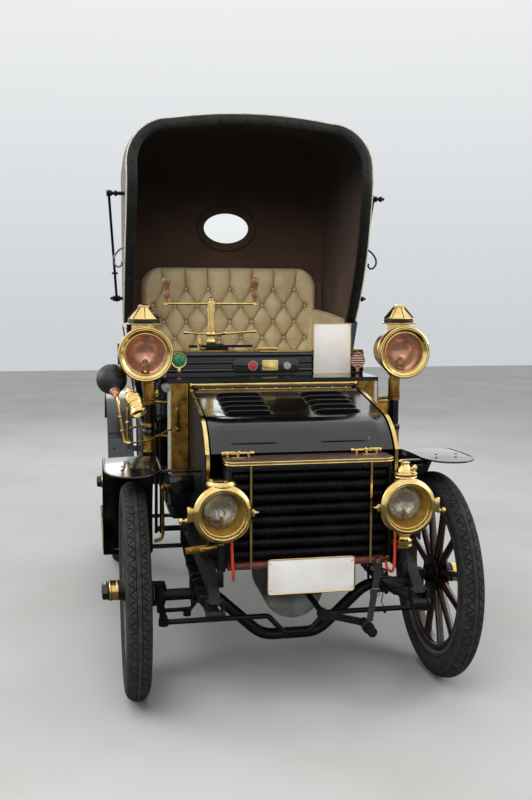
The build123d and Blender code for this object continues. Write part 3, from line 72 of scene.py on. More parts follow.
# %% The gas hoses
hose_points = ((288, -1281, 683), (287, -1287, 622), (284, -1290, 542), (274, -1232, 542), (274, -1232, 572))
hose_radius = 0.005
hoses = []
for side, hand in ((-1, "right"), (1, "left")):
    line = bpy.data.curves.new("gas_hose_line_" + hand, "CURVE")
    line.dimensions = "3D"
    line.bevel_depth = hose_radius
    line.bevel_resolution = 5
    line.resolution_u = 16
    line.use_fill_caps = True
    spline = line.splines.new("NURBS")
    spline.points.add(len(hose_points) - 1)
    for place, (x, y, z) in zip(spline.points, hose_points):
        place.co = (side * x / 1000, y / 1000, z / 1000, 1)
    spline.order_u = 3
    spline.use_endpoint_u = True
    drawn = bpy.data.objects.new("gas_hose_drawn_" + hand, line)
    bpy.context.scene.collection.objects.link(drawn)
    meshes = []
    for thickness in (0.0, hose_radius):  # first the bare line, then the tube round it
        line.bevel_depth = thickness
        bpy.context.view_layer.update()
        ready = drawn.evaluated_get(bpy.context.evaluated_depsgraph_get())
        meshes.append(bpy.data.meshes.new_from_object(ready))
    bpy.data.objects.remove(drawn)
    hose = bpy.data.objects.new("gas_hose_rubber_" + hand, meshes[1])
    bpy.context.scene.collection.objects.link(hose)
    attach(hose, "chassis")
    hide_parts("gas_hose_" + hand)
    hoses.append(hose)
print("hoses:", [h.name for h in hoses])

# %% [markdown]
# Every finish is a node tree on a Principled shader. One small function adds a node: lower-case names are the
# node's own settings, other names and numbers are sockets, and whatever is linked comes by keyword. The eye
# reads colours in sRGB, but the shader works with linear light, so one function turns the hex values over.

# %% Colours and nodes
def linear(hex_code):
    """An sRGB colour such as #d8b566 as the linear RGBA that a shader socket takes."""
    parts = [int(hex_code[i : i + 2], 16) / 255 for i in (1, 3, 5)]
    return tuple(c / 12.92 if c <= 0.04045 else ((c + 0.055) / 1.055) ** 2.4 for c in parts) + (1.0,)


def add_node(tree, kind, settings=None, **links):
    """Adds a node with its settings, and links its sockets: in_0 is the first socket, Vector the one of that name."""
    made = tree.nodes.new(kind)
    for name, value in (settings or {}).items():
        if isinstance(name, int) or name[0].isupper():
            made.inputs[name].default_value = value
        else:
            setattr(made, name, value)
    for name, source in links.items():
        socket = made.inputs[int(name[3:])] if name.startswith("in_") else made.inputs[name.replace("_", " ")]
        tree.links.new(source if isinstance(source, bpy.types.NodeSocket) else source.outputs[0], socket)
    return made


print("black enamel in linear light:", [round(c, 4) for c in linear("#060607")[:3]])

# %% [markdown]
# Old paint, metal and hide are never even. Their patterns are measured in millimetres on the object itself, so
# they keep their size and move with the part. Clouds change the colour, wiping marks change the gloss, and
# pebbles or brush marks are too shallow to model, so a bump lets them catch the light.

# %% Patterns
def cloudy_colour(tree, shader, point, size, first, second, low=0.35, high=0.65, detail=3):
    """The base colour drifts between two hex colours in soft patches of that size."""
    cloud = add_node(tree, "ShaderNodeTexNoise", {"Scale": 1000 / size, "Detail": detail}, Vector=point)
    share = add_node(tree, "ShaderNodeMapRange", {1: low, 2: high}, in_0=cloud)
    mixed = add_node(tree, "ShaderNodeMix", {"data_type": "RGBA", 6: linear(first), 7: linear(second)}, in_0=share)
    tree.links.new(mixed.outputs[2], shader.inputs["Base Color"])


def uneven_gloss(tree, shader, point, size, low, high):
    """The roughness drifts between two values in patches of that size: handling, wiping and road dust."""
    cloud = add_node(tree, "ShaderNodeTexNoise", {"Scale": 1000 / size, "Detail": 4}, Vector=point)
    gloss = add_node(tree, "ShaderNodeMapRange", {1: 0.3, 2: 0.7, 3: low, 4: high}, in_0=cloud)
    tree.links.new(gloss.outputs[0], shader.inputs["Roughness"])


def raised_by(tree, shader, pattern, depth, strength):
    """Lets a pattern push the surface in and out by a depth in millimetres."""
    bump = add_node(tree, "ShaderNodeBump", {"Strength": strength, "Distance": depth / 1000}, Height=pattern)
    tree.links.new(bump.outputs[0], shader.inputs["Normal"])


def fine_relief(tree, shader, point, size, depth, strength):
    """A fine uneven surface: bumps of that size and depth."""
    bumps = add_node(tree, "ShaderNodeTexNoise", {"Scale": 1000 / size, "Detail": 2}, Vector=point)
    raised_by(tree, shader, bumps, depth, strength)


def leather_pebble(tree, shader, point, size, depth, strength):
    """The tiny cells of tanned skin, of that width and depth."""
    cells = add_node(tree, "ShaderNodeTexVoronoi", {"Scale": 1000 / size}, Vector=point)
    raised_by(tree, shader, cells, depth, strength)


def darker_where(tree, shader, share, dark):
    """Mixes the base colour towards a dark one, by a share from 0 to 1."""
    base = shader.inputs["Base Color"].links[0].from_socket
    mixed = add_node(tree, "ShaderNodeMix", {"data_type": "RGBA", 7: linear(dark)}, in_0=share, in_6=base)
    tree.links.new(mixed.outputs[2], shader.inputs["Base Color"])


print("patterns: clouds, uneven gloss, relief, leather pebble and darker parts")

# %% [markdown]
# A finish starts from its base colour, roughness and metal. Clouds, gloss, relief and pebble are given as the
# values that their functions take, and any other socket of the shader by its name.

# %% A new finish
finishes = {}


def new_finish(name, colour, roughness, metal=0.0, clouds=None, gloss=None, relief=None, pebble=None, **sockets):
    """A material with its Principled shader and patterns. Gives its tree, shader and the point on the object."""
    material = bpy.data.materials.new(name)
    material.use_nodes = True
    tree = material.node_tree
    shader = tree.nodes["Principled BSDF"]
    sockets.update(Base_Color=linear(colour), Roughness=roughness, Metallic=metal)
    for socket, value in sockets.items():
        shader.inputs[socket.replace("_", " ")].default_value = value
    material.diffuse_color = linear(colour)
    finishes[name] = material
    point = add_node(tree, "ShaderNodeTexCoord").outputs["Object"]
    patterns = (cloudy_colour, clouds), (uneven_gloss, gloss), (fine_relief, relief), (leather_pebble, pebble)
    for pattern, values in patterns:
        if values:
            pattern(tree, shader, point, *values)
    return tree, shader, point


print("finishes can be made now")

# %% [markdown]
# The body is wood and sheet steel under many coats of black enamel, rubbed down and varnished. It is nearly a
# mirror, with a faint orange peel from the brush, about 9 mm from crest to crest. The wings are the same
# enamel. The frame and springs carry a plainer black that has gone satin, and dust settles on it in patches.

# %% Black paints
new_finish("gloss_black_enamel", "#060607", 0.1, gloss=(160, 0.08, 0.2), relief=(9, 0.05, 0.35),
           Specular_IOR_Level=0.5, Coat_Weight=0.25, Coat_Roughness=0.04)
new_finish("satin_black_frame_paint", "#0b0b0c", 0.4, clouds=(70, "#09090a", "#1c1a19", 0.45, 0.8, 5),
           gloss=(50, 0.3, 0.55), relief=(5, 0.12, 0.5), Specular_IOR_Level=0.25)
new_finish("grey_rim_paint", "#4a4a4e", 0.35, clouds=(45, "#3c3c40", "#5a595a"), gloss=(30, 0.28, 0.5))
print("paints:", len(finishes))

# %% [markdown]
# Brass is everywhere: lamps, beadings, hinge and straps. Freshly rubbed brass is a warm yellow mirror, and a
# few weeks later it has darker, redder clouds and a softer gleam. A metal's colour is all in its reflection,
# so the clouds go into the base colour and the wiping marks into the roughness. The dash plates and lamp feet
# are older brass that nobody polishes, with tarnish in brown clouds, and the dash lamps have copper reflectors.
# Inside a headlamp the brass has gone dull with soot and heat, so it mirrors little and glows in its own colour.

# %% Brass, copper and silvered metal
new_finish("polished_brass", "#dabc76", 0.14, 1.0, (55, "#e2c886", "#c09d5a", 0.35, 0.75, 4), (22, 0.09, 0.26),
           (14, 0.05, 0.3))
new_finish("aged_brass", "#9c7838", 0.33, 1.0, (38, "#a9853f", "#694a20", 0.38, 0.7, 6), (25, 0.25, 0.5),
           (8, 0.12, 0.4))
new_finish("dull_lamp_brass", "#c9a648", 0.4, 0.35, (22, "#d3ad4a", "#a87a30", 0.35, 0.7, 4))
new_finish("burnished_copper", "#d08f72", 0.25, 0.6, (70, "#dba084", "#b97a5e", 0.3, 0.8, 2), (20, 0.16, 0.32))
new_finish("silvered_reflector", "#c9c4b6", 0.2, 0.8, (60, "#cfcabc", "#7f7868", 0.38, 0.72, 3), (20, 0.14, 0.34))
print("metals that shine:", [n for n in finishes if "brass" in n or "copper" in n or "silver" in n])

# %% [markdown]
# The working metals are plainer: forged iron blackened in the fire, steel rods kept from rust with oil, and
# the engine's cast aluminium. Its skin keeps the grit of the sand mould, drawn at 2.5 mm so that it shows, and
# oil stains it. Above a third of a metre its colour turns black and it loses its metal shine.

# %% Iron, steel and aluminium
new_finish("black_forged_iron", "#101012", 0.45, 0.2, (30, "#0e0e0f", "#211f1d", 0.45, 0.75, 5), None, (3, 0.15, 0.5),
           Specular_IOR_Level=0.3)
new_finish("oiled_steel", "#8c8d90", 0.3, 1.0, (35, "#97989b", "#5e5a55", 0.42, 0.75, 5), (18, 0.22, 0.45))
tree, shader, point = new_finish(
    "sand_cast_aluminium", "#a9abad", 0.45, 0.9, (60, "#9fa1a0", "#5f5d57", 0.4, 0.75, 5), None, (2.5, 0.25, 0.6)
)
level = add_node(tree, "ShaderNodeSeparateXYZ", {}, in_0=point)
# from 0.33 m to 0.38 m up, the colour goes to near-black and the metal shine fades
darker_above = add_node(tree, "ShaderNodeMapRange", {1: 0.33, 2: 0.38}, in_0=level.outputs[2])
darker_where(tree, shader, darker_above, "#1b1a19")
bare = add_node(tree, "ShaderNodeMath", {"operation": "MULTIPLY_ADD", 1: -0.9, 2: 0.9}, in_0=darker_above)
tree.links.new(bare.outputs[0], shader.inputs["Metallic"])
print("working metals are ready")

# %% [markdown]
# A tyre of carbon-black rubber is a matt dark grey, never black, and its tread holds pale road dust. The floor of
# its grooves is painted near-black, as shade. The same near-black is painted shade in the louvres' mouths, and
# it is the colour of the horn's gauze too. The horn's bulb is smooth black rubber with a dull shine, and the
# hoses are red rubber with a bloom of chalk.

# %% Rubber
new_finish("tyre_rubber", "#2e2e2f", 0.75, 0, (26, "#2b2b2c", "#3f3d3b", 0.4, 0.75, 6), (40, 0.6, 0.85),
           (1.6, 0.12, 0.5), Specular_IOR_Level=0.2)
# painted shade: near-black for the floor of the tread's grooves and for the louvres' mouths; also the horn's gauze
new_finish("shade_and_gauze_black", "#0b0b0c", 0.85, relief=(1.6, 0.12, 0.5), Specular_IOR_Level=0.1)
new_finish("smooth_black_rubber", "#1c1c1d", 0.42, gloss=(25, 0.34, 0.55), relief=(4, 0.08, 0.4))
new_finish("red_rubber_hose", "#c2331f", 0.5, 0, (12, "#c9351f", "#a83a2a", 0.4, 0.7, 3), relief=(1.5, 0.06, 0.5))
for hose in hoses:
    hose.data.materials.append(finishes["red_rubber_hose"])
print("rubber is ready")

# %% [markdown]
# Ash spokes under dark varnish show their grain as faint streaks, about 3 mm apart. The grain is noise that is
# stretched in the wheel's own plane, so one pattern serves all twelve spokes. The handlebar's grips are oiled
# fruitwood, a warm brown, with a finer grain that stands upright.

# %% Varnished and oiled wood
def wood_grain(tree, shader, point, stretch, noise, first, second):
    """Streaks of two tones, from noise that is stretched along the grain."""
    stretched = add_node(tree, "ShaderNodeMapping", {"Scale": stretch}, Vector=point)
    grain = add_node(tree, "ShaderNodeTexNoise", noise, Vector=stretched)
    streak = add_node(tree, "ShaderNodeMapRange", {1: 0.35, 2: 0.7}, in_0=grain)
    wood = add_node(tree, "ShaderNodeMix", {"data_type": "RGBA", 6: linear(first), 7: linear(second)}, in_0=streak)
    tree.links.new(wood.outputs[2], shader.inputs["Base Color"])


ash = new_finish("varnished_ash", "#24120c", 0.2, gloss=(60, 0.15, 0.32), Coat_Weight=0.35, Coat_Roughness=0.08)
wood_grain(*ash, (1.0, 0.35, 0.35), {"Scale": 330, "Detail": 4, "Distortion": 0.6}, "#2e160e", "#140b08")
fruitwood = new_finish("oiled_fruitwood", "#6e4422", 0.28, Coat_Weight=0.4, Coat_Roughness=0.12)
wood_grain(*fruitwood, (1.0, 1.0, 0.08), {"Scale": 420, "Detail": 3, "Distortion": 0.8}, "#8f6233", "#5a3a1c")
print("wood is ready")

# %% [markdown]
# The seat is buff hide, drawn down by buttons. Hide has a pebble of tiny cells, here 2.6 mm wide, that
# catches the light on every curve. It is paler where sitters have rubbed it, and painted shade darkens it in its
# pleats and round its buttons. The hood is harness leather dressed black: coarser, with a low grey sheen. The
# board over the radiator and the tie strap are brown hide.

# %% Leather
tree, shader, point = new_finish(
    "buff_hide", "#cfb88a", 0.5, 0, (85, "#d2bf96", "#bda67a", 0.35, 0.75, 5), (60, 0.42, 0.6), None,
    (2.6, 0.3, 0.35), Sheen_Weight=0.15, Sheen_Roughness=0.5,
)
# painted shade: the hide is darker in its folds and round its buttons, read from the mesh attribute
pleat_shade_node = add_node(tree, "ShaderNodeAttribute", {"attribute_name": "pleat_painted_shade"})
darker_where(tree, shader, pleat_shade_node.outputs["Fac"], "#4a3a22")
new_finish("black_hood_leather", "#121211", 0.45, 0, (120, "#0f0f0e", "#232220", 0.45, 0.85, 5), (90, 0.34, 0.58),
           None, (4, 0.5, 0.45), Specular_IOR_Level=0.3, Sheen_Weight=0.04)
new_finish("brown_board_leather", "#46322c", 0.38, 0, (50, "#4b352e", "#33241f", 0.35, 0.7, 5), pebble=(3, 0.4, 0.4))
new_finish("strap_hide", "#2b1d16", 0.45, 0, (20, "#2e1f17", "#45301f", 0.45, 0.8, 4), relief=(2, 0.15, 0.5))
print("leather is ready")

# %% [markdown]
# The hood's lining is brown wool cloth. Real threads are about 0.6 mm apart, too fine to show from where the
# camera stands, so the weave is drawn at 4 mm: two families of bands, one across and one along, multiplied
# together. Under the roof little light reaches it, so its colour is painted darker there, as shade. The piping
# round the front edge is cream cotton tape.

# %% Cloth
tree, shader, point = new_finish(
    "brown_wool_lining", "#4d3d33", 0.9, 0, (150, "#6f5747", "#5d493c", 0.3, 0.8, 2),
    Specular_IOR_Level=0.2, Sheen_Weight=0.1, Sheen_Roughness=0.4,
)
bands = [add_node(tree, "ShaderNodeTexWave", {"bands_direction": way, "Scale": 78, "Distortion": 0.6}, Vector=point)
         for way in ("Z", "DIAGONAL")]
weave = add_node(tree, "ShaderNodeMath", {"operation": "MULTIPLY"}, in_0=bands[0].outputs[1],
                 in_1=bands[1].outputs[1])
raised_by(tree, shader, weave, 0.5, 0.3)
# painted shade: the cloth's colour darkens from 1.45 m up to 2.1 m, under the roof
rise = add_node(tree, "ShaderNodeSeparateXYZ", {}, in_0=point)
roof_painted_shade = add_node(tree, "ShaderNodeMapRange", {1: 1.45, 2: 2.1}, in_0=rise.outputs[2])
darker_where(tree, shader, roof_painted_shade, "#2a201b")
new_finish("cream_piping_tape", "#d8cdb4", 0.7, 0, (30, "#ddd3bb", "#b9ad92", 0.4, 0.75, 4), relief=(1.5, 0.2, 0.6),
           Sheen_Weight=0.2)
print("cloth is ready")

# %% [markdown]
# Small things: vitreous enamel on the badges and the plates is coloured glass fused to metal, so it is
# smooth and very shiny. The red-brown bar under the radiator is iron in oxide paint. The lamps have flat
# plate glass, clear, with an index of 1.45.

# %% Enamels, oxide paint and glass
new_finish("white_vitreous_enamel", "#ebe8e3", 0.16, 0, (90, "#eeebe6", "#dfdad2", 0.4, 0.8, 4), Coat_Weight=0.4)
for enamel, light_tone, dark_tone in (
    ("green_enamel", "#24915a", "#156038"),
    ("red_enamel", "#c8323a", "#96202a"),
    ("grey_enamel", "#b9bab6", "#85857f"),
    ("cream_enamel", "#dcd6c4", "#c2bba6"),
):
    new_finish(enamel, light_tone, 0.18, 0, (16, light_tone, dark_tone, 0.35, 0.7, 2), Coat_Weight=0.5)
new_finish("red_oxide_paint", "#6b2f2a", 0.42, 0, (30, "#73332c", "#46201d", 0.4, 0.75, 5), relief=(4, 0.15, 0.5))
new_finish("clear_plate_glass", "#f2f4f1", 0.03, gloss=(45, 0.0, 0.05), IOR=1.45, Transmission_Weight=1.0, Alpha=0.35)
print(len(finishes), "finishes in all")

# %% [markdown]
# Most CAD nodes already have the right shape, so they stay and only take a finish. The list below says which
# finish stands for which real metal, paint or hide. Nodes that are missing from it are remade further down.

# %% Finishes of the CAD nodes
worn_by = {
    "gloss_black_enamel": "bonnet_lid dashboard body_tub front_wings rear_wings running_boards",
    "satin_black_frame_paint": "bonnet_sides radiator_tank chassis_frame springs front_axle rear_axle "
    "propeller_shaft track_rod drag_link knuckle_right knuckle_left radiator steering_column",
    "polished_brass": "radiator_straps bonnet_edging horn handlebar headlamps dash_lamps",
    "aged_brass": "dash_trim",
    "black_forged_iron": "hood_irons exhaust hand_levers starting_handle",
    "sand_cast_aluminium": "engine gearbox",
    "smooth_black_rubber": "horn_bulb",
    "white_vitreous_enamel": "plates",
    "clear_plate_glass": "lamp_glasses",
    "strap_hide": "handle_strap",
    "oiled_fruitwood": "handlebar_grips",
}
for finish, names in worn_by.items():
    for name in names.split():
        if not node[name].material_slots:
            node[name].data.materials.append(finishes[finish])
        for place in node[name].material_slots:
            place.material = finishes[finish]
print(sum(len(names.split()) for names in worn_by.values()), "CAD nodes have a finish")

# %% [markdown]
# New pieces are made from a few kinds of raw form, the same as in a workshop: turned on a lathe, cut from bar
# or plate with eased edges, or bent from tube. A form is only points and faces in millimetres. A lathe form
# spins a profile of (radius, height) points about a line, and a ring's profile closes on itself.

# %% Turned forms
upright, forward, backward, crosswise = (0, 0, 1), (0, -1, 0), (0, 1, 0), (1, 0, 0)


def across_axes(direction):
    """Two directions square to this one, and the direction itself."""
    ahead = Vector(direction).normalized()
    first = ahead.cross(Vector((0, 0, 1)) if abs(ahead.z) < 0.9 else Vector((1, 0, 0))).normalized()
    return first, ahead.cross(first), ahead


def grid_faces(rows, columns, looped=False):
    """The four-sided faces between a grid of points, row after row."""
    ways = [(j, (j + 1) % columns) for j in range(columns if looped else columns - 1)]
    starts = range(0, (rows - 1) * columns, columns)
    return [(i + j, i + k, i + columns + k, i + columns + j) for i in starts for j, k in ways]


def turned(profile, at=(0, 0, 0), steps=32, along=upright, ring=False):
    """Turned on a lathe: (radius, distance along) points, spun about the line through `at`."""
    first, second, ahead = across_axes(along)
    centre = Vector(at)
    points, faces, count = [], [], len(profile)
    for i in range(steps):
        out = first * cos(2 * pi * i / steps) + second * sin(2 * pi * i / steps)
        points += [centre + ahead * h + out * r for r, h in profile]
    for i in range(steps):
        here, there = i * count, (i + 1) % steps * count
        for j in range(count if ring else count - 1):
            k = (j + 1) % count
            faces.append((here + j, there + j, there + k, here + k))
    return points, faces


def disc(radius, low, high, ease=0, drop=0):
    """The profile of a round plate or pin between two heights, its edges eased in by `ease` and over `drop`."""
    if not ease:
        return [(0, low), (radius, low), (radius, high), (0, high)]
    inner = radius - ease
    return [(0, low), (inner, low), (radius, low + drop), (radius, high - drop), (inner, high), (0, high)]


print("a disc turned in 32 steps has", len(turned(disc(10, 0, 2))[1]), "faces")

# %% [markdown]
# A real edge is never razor sharp: a file or a brush of paint takes it off, and the narrow bevel is what
# catches the light. So every bar and plate gets eased edges here. A plate is sawn from an outline.

# %% Bars and plates
def bar(size, at=(0, 0, 0), ease=1.0, turn=(0, 0, 0), rounds=2):
    """A bar of that size about its middle, with its edges eased."""
    form = bmesh.new()
    bmesh.ops.create_cube(form, size=1)
    bmesh.ops.scale(form, vec=size, verts=form.verts)
    if ease:
        bmesh.ops.bevel(form, geom=form.edges[:], offset=ease, segments=rounds, affect="EDGES", profile=0.5)
    placing = Matrix.Translation(at) @ Euler([radians(a) for a in turn]).to_matrix().to_4x4()
    points = [placing @ v.co for v in form.verts]
    form.verts.index_update()
    faces = [tuple(v.index for v in f.verts) for f in form.faces]
    form.free()
    return points, faces


def rounded_outline(width, height, corner, steps=5):
    """A rectangle with round corners, as (across, up) points about its middle."""
    outline = []
    for cx, cy, start in ((1, 1, 0), (-1, 1, 90), (-1, -1, 180), (1, -1, 270)):
        for k in range(steps + 1):
            a = radians(start + 90 * k / steps)
            outline.append((cx * (width / 2 - corner) + corner * cos(a),
                            cy * (height / 2 - corner) + corner * sin(a)))
    return outline


def plate(outline, thickness, at=(0, 0, 0), ease=0.6, right=crosswise, up=upright):
    """Sawn from plate: an outline in two directions, given a thickness behind it and eased edges."""
    right, up = Vector(right).normalized(), Vector(up).normalized()
    behind = right.cross(up) * -thickness
    form = bmesh.new()
    face = form.faces.new([form.verts.new(Vector(at) + right * a + up * b) for a, b in outline])
    moved = bmesh.ops.extrude_face_region(form, geom=[face])
    bmesh.ops.translate(form, vec=behind, verts=[v for v in moved["geom"] if isinstance(v, bmesh.types.BMVert)])
    if ease:
        rims = [e for e in form.edges if len(e.link_faces) == 2 and max(len(f.verts) for f in e.link_faces) > 3]
        rims = [e for e in rims if e.calc_face_angle(0) > radians(50)]
        bmesh.ops.bevel(form, geom=rims, offset=ease, segments=2, affect="EDGES", profile=0.5)
    form.verts.index_update()
    points = [v.co.copy() for v in form.verts]
    faces = [tuple(v.index for v in f.verts) for f in form.faces]
    form.free()
    return points, faces


print("an eased bar has", len(bar((10, 10, 10))[1]), "faces")

# %% [markdown]
# Pipes, wires, beads and rolled edges are one form: a circle carried along a path. Each circle takes over the
# last one's axes, so the tube doesn't twist. A path is drawn through a few points by a curve without corners.

# %% Tubes
def smooth_path(points, steps=8, looped=False):
    """A path through these points without corners."""
    points = [Vector(p) for p in points]
    count = len(points)
    path = []
    for i in range(count if looped else count - 1):
        p0 = points[i - 1] if i or looped else points[0] * 2 - points[1]
        p1, p2 = points[i], points[(i + 1) % count]
        p3 = points[(i + 2) % count] if i + 2 < count or looped else p2 * 2 - p1
        for k in range(steps):
            t = k / steps
            doubled = 2 * p1 + (p2 - p0) * t + (2 * p0 - 5 * p1 + 4 * p2 - p3) * t**2
            path.append(0.5 * (doubled + (3 * p1 - p0 - 3 * p2 + p3) * t**3))
    return path if looped else path + [points[-1]]


def tube(path, radius, steps=10, looped=False):
    """Bent from round bar along a path; the radius is one number, or one for each point."""
    path = [Vector(p) for p in path]
    count = len(path)
    radii = [radius] * count if isinstance(radius, (int, float)) else list(radius)
    points, faces, first = [], [], None
    for i, place in enumerate(path):
        before = path[i - 1] if i or looped else path[0]
        after = path[(i + 1) % count] if i < count - 1 or looped else path[-1]
        ahead = (after - before).normalized()
        if first is None:
            first = across_axes(ahead)[0]
        first = (first - ahead * first.dot(ahead)).normalized()
        second = ahead.cross(first)
        for k in range(steps):
            a = 2 * pi * k / steps
            points.append(place + (first * cos(a) + second * sin(a)) * radii[i])
    for i in range(count if looped else count - 1):
        here, there = i * steps, (i + 1) % count * steps
        for k in range(steps):
            m = (k + 1) % steps
            faces.append((here + k, here + m, there + m, there + k))
    if not looped:
        faces += [tuple(range(steps - 1, -1, -1)), tuple(range((count - 1) * steps, count * steps))]
    return points, faces


print("a short rod has", len(tube([(0, 0, 0), (0, 0, 1)], 1)[1]), "faces")

# %% [markdown]
# Nuts and studs are everywhere on such a car. A nut is turned in six steps, which gives its flats, and has
# the stud's end in its middle. A stud, a rivet or a button is a low dome.

# %% Nuts and domes
def hex_nut(at, along, across_flats, height):
    """A six-sided nut with its corners turned off, and the stud's end in its middle."""
    r = across_flats / sqrt(3)
    profile = [(0, 0), (r, 0), (r, height * 0.75), (r * 0.88, height), (r * 0.5, height), (r * 0.5, height * 1.35),
               (0, height * 1.4)]
    return turned(profile, at, 6, along)


def dome(at, out, radius, height, steps=12):
    """A button or a stud: a low dome on its surface."""
    profile = [(radius * 0.9, -1), (radius, height * 0.15), (radius * 0.88, height * 0.55),
               (radius * 0.55, height * 0.88), (0, height)]
    return turned(profile, at, steps, out)


print("a nut has", len(hex_nut((0, 0, 0), upright, 14, 8)[1]), "faces")

# %% [markdown]
# `shape` joins several forms into one piece in metres, shades it smooth but for its sharp edges, gives it its
# finish, and lets it ride on a body of the frame. A thin turned skin has its doubled points made one.

# %% From forms to a piece
same_point = 0.00001  # points that are nearer than this, in metres, are one point


def shape(name, forms, finish, sharp=40, body="chassis", stands_for="", weld=False):
    """Welds forms in millimetres into one piece in metres, gives it its finish and lets it ride on a body."""
    points, faces = [], []
    for form_points, form_faces in forms:
        start = len(points)
        points += [Vector(p) / 1000 for p in form_points]
        faces += [tuple(start + k for k in f) for f in form_faces]
    mesh = bpy.data.meshes.new(name)
    mesh.from_pydata(points, [], faces)
    form = bmesh.new()
    form.from_mesh(mesh)
    if weld:
        bmesh.ops.remove_doubles(form, verts=form.verts, dist=same_point)
    bmesh.ops.recalc_face_normals(form, faces=form.faces)
    form.to_mesh(mesh)
    form.free()
    mesh.shade_smooth()
    mesh.set_sharp_from_angle(angle=radians(sharp))
    mesh.materials.append(finishes[finish])
    piece = bpy.data.objects.new(name, mesh)
    bpy.context.scene.collection.objects.link(piece)
    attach(piece, body)
    if stands_for:
        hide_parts(*stands_for.split())
    return piece


# %% [markdown]
# A beaded-edge tyre is a thick ring, almost round in section, whose two beads hook under the rim. Its tread
# here has a plain rib in the middle and a belt of small triangles at each side, cut by zigzag grooves 3 mm
# wide. The ring is turned, with the belts 3 mm lower, and each triangle is laid onto it as its own block: this
# keeps crisp edges with few faces. Over the round shoulder a block needs a row of points in its middle.

# %% Tyres
section = 45  # radius of the tyre's round section
triangle_pitch = 35.3


def tyre_forms(centre, radius):
    """The ring of one tyre, and then every block of its tread."""
    middle = radius - section
    half = [(x, middle + sqrt(section**2 - x * x)) for x in (0, 4, 7.4)]
    half += [(8.2, middle + sqrt((section - 3) ** 2 - 8.2**2))]
    half += [((section - 3) * sin(radians(a)), middle + (section - 3) * cos(radians(a)))
             for a in (16, 24, 32, 40, 48)]
    half += [(section * sin(radians(a)), middle + section * cos(radians(a))) for a in (50.5, 51.5)]
    half += [((section - 0.8) * sin(radians(52.5)), middle + (section - 0.8) * cos(radians(52.5)))]
    half += [(section * sin(radians(a)), middle + section * cos(radians(a))) for a in (55, 66, 78, 90, 102, 114, 126)]
    half += [(31.5, radius - 77.5), (28.5, radius - 83), (28, radius - 89.9)]
    outline = [(r, x) for x, r in half] + [(r, -x) for x, r in reversed(half[1:])]
    forms = [turned(outline, centre, 144, crosswise, ring=True)]
    count = round(2 * pi * radius / triangle_pitch)
    pitch = 2 * pi / count
    groove = 2.3 / radius
    rows = [(radians(a), t) for a, t in ((13.2, 0.0), (21.5, 0.25), (30.0, 0.5), (38.5, 0.75), (47.0, 1.0))]
    for side in (-1, 1):
        for k in range(count):
            for points_out in (True, False):
                points, faces = [], []
                spin = (k + (0 if points_out else 0.5) + (0.25 if side > 0 else 0)) * pitch
                for sunk in (0, 1):
                    for a, t in rows:
                        width = max(pitch / 2 * (1 - t if points_out else t) - groove, 0.4 / radius)
                        r = middle + (section - 3.6 * sunk) * cos(a)
                        x = side * (section - 3.6 * sunk) * sin(a)
                        for s in (-1, 1):
                            turn_by = spin + s * width
                            points.append(Vector(centre) + Vector((x, r * sin(turn_by), r * cos(turn_by))))
                n = len(rows)
                for j in range(n - 1):
                    faces.append((2 * j, 2 * j + 1, 2 * j + 3, 2 * j + 2))
                    for s in (0, 1):
                        faces.append((2 * j + s, 2 * j + 2 + s, 2 * n + 2 * j + 2 + s, 2 * n + 2 * j + s))
                faces += [(0, 1, 2 * n + 1, 2 * n), (2 * n - 2, 2 * n - 1, 4 * n - 1, 4 * n - 2)]
                forms.append((points, faces))
    return forms


wheel_places = {}
for end, y, radius in (("front", -885, 405), ("rear", 935, 455)):
    for hand, side in (("right", -1), ("left", 1)):
        wheel_places[end + "_" + hand] = ((side * 598, y, radius), radius, side, end + "_wheel_" + hand)
for place, (centre, radius, side, body) in wheel_places.items():
    tyre = shape("treaded_tyre_" + place, tyre_forms(centre, radius), "tyre_rubber", sharp=30, body=body,
                 stands_for="tyre_" + place)
    tyre.data.materials.append(finishes["shade_and_gauze_black"])
    # the faces on the sunk floor between the tread's blocks take the near-black painted shade
    for face in tyre.data.polygons:
        out = Vector(face.center) * 1000 - Vector(centre)
        reach = Vector((out.x, sqrt(out.y**2 + out.z**2) - (radius - section), 0))
        if reach.length < section - 2 and 7.5 < abs(out.x) < 33.5 and reach.y > 20:
            face.material_index = 1
print("a tyre has", len(tyre.data.polygons), "faces")

# %% [markdown]
# An artillery wheel has twelve ash spokes wedged together between two hub flanges and driven into a bent wood
# felloe, with a steel rim shrunk over it. A spoke is an oval that swells at the hub and slims to the felloe,
# so it is lofted: one oval ring of points after another. Rim, felloe and hub are turned. The hub's brass ring,
# black cap and twelve nuts come on top, each in its own finish.

# %% Wheels
def spoke_form(centre, angle, foot, head):
    """One spoke from radius `foot` to radius `head`, an oval that tapers and swells at its foot."""
    out = Vector((0, sin(angle), cos(angle)))
    sideways = Vector((0, cos(angle), -sin(angle)))
    rows = []
    for k in range(9):
        t = k / 8
        r = foot + (head - foot) * t
        wide = 14 + 5 * (1 - t) ** 2 + 2.5 * max(0, (t - 0.8) / 0.2) ** 2
        deep = 12 + 3 * (1 - t) ** 2 + 3.5 * max(0, (t - 0.8) / 0.2) ** 2
        rows.append((r, deep, wide))
    points, steps = [], 12
    for r, deep, wide in rows:
        for k in range(steps):
            a = 2 * pi * k / steps
            points.append(Vector(centre) + out * r + sideways * (deep * cos(a)) + Vector((wide * sin(a), 0, 0)))
    return points, grid_faces(len(rows), steps, looped=True)


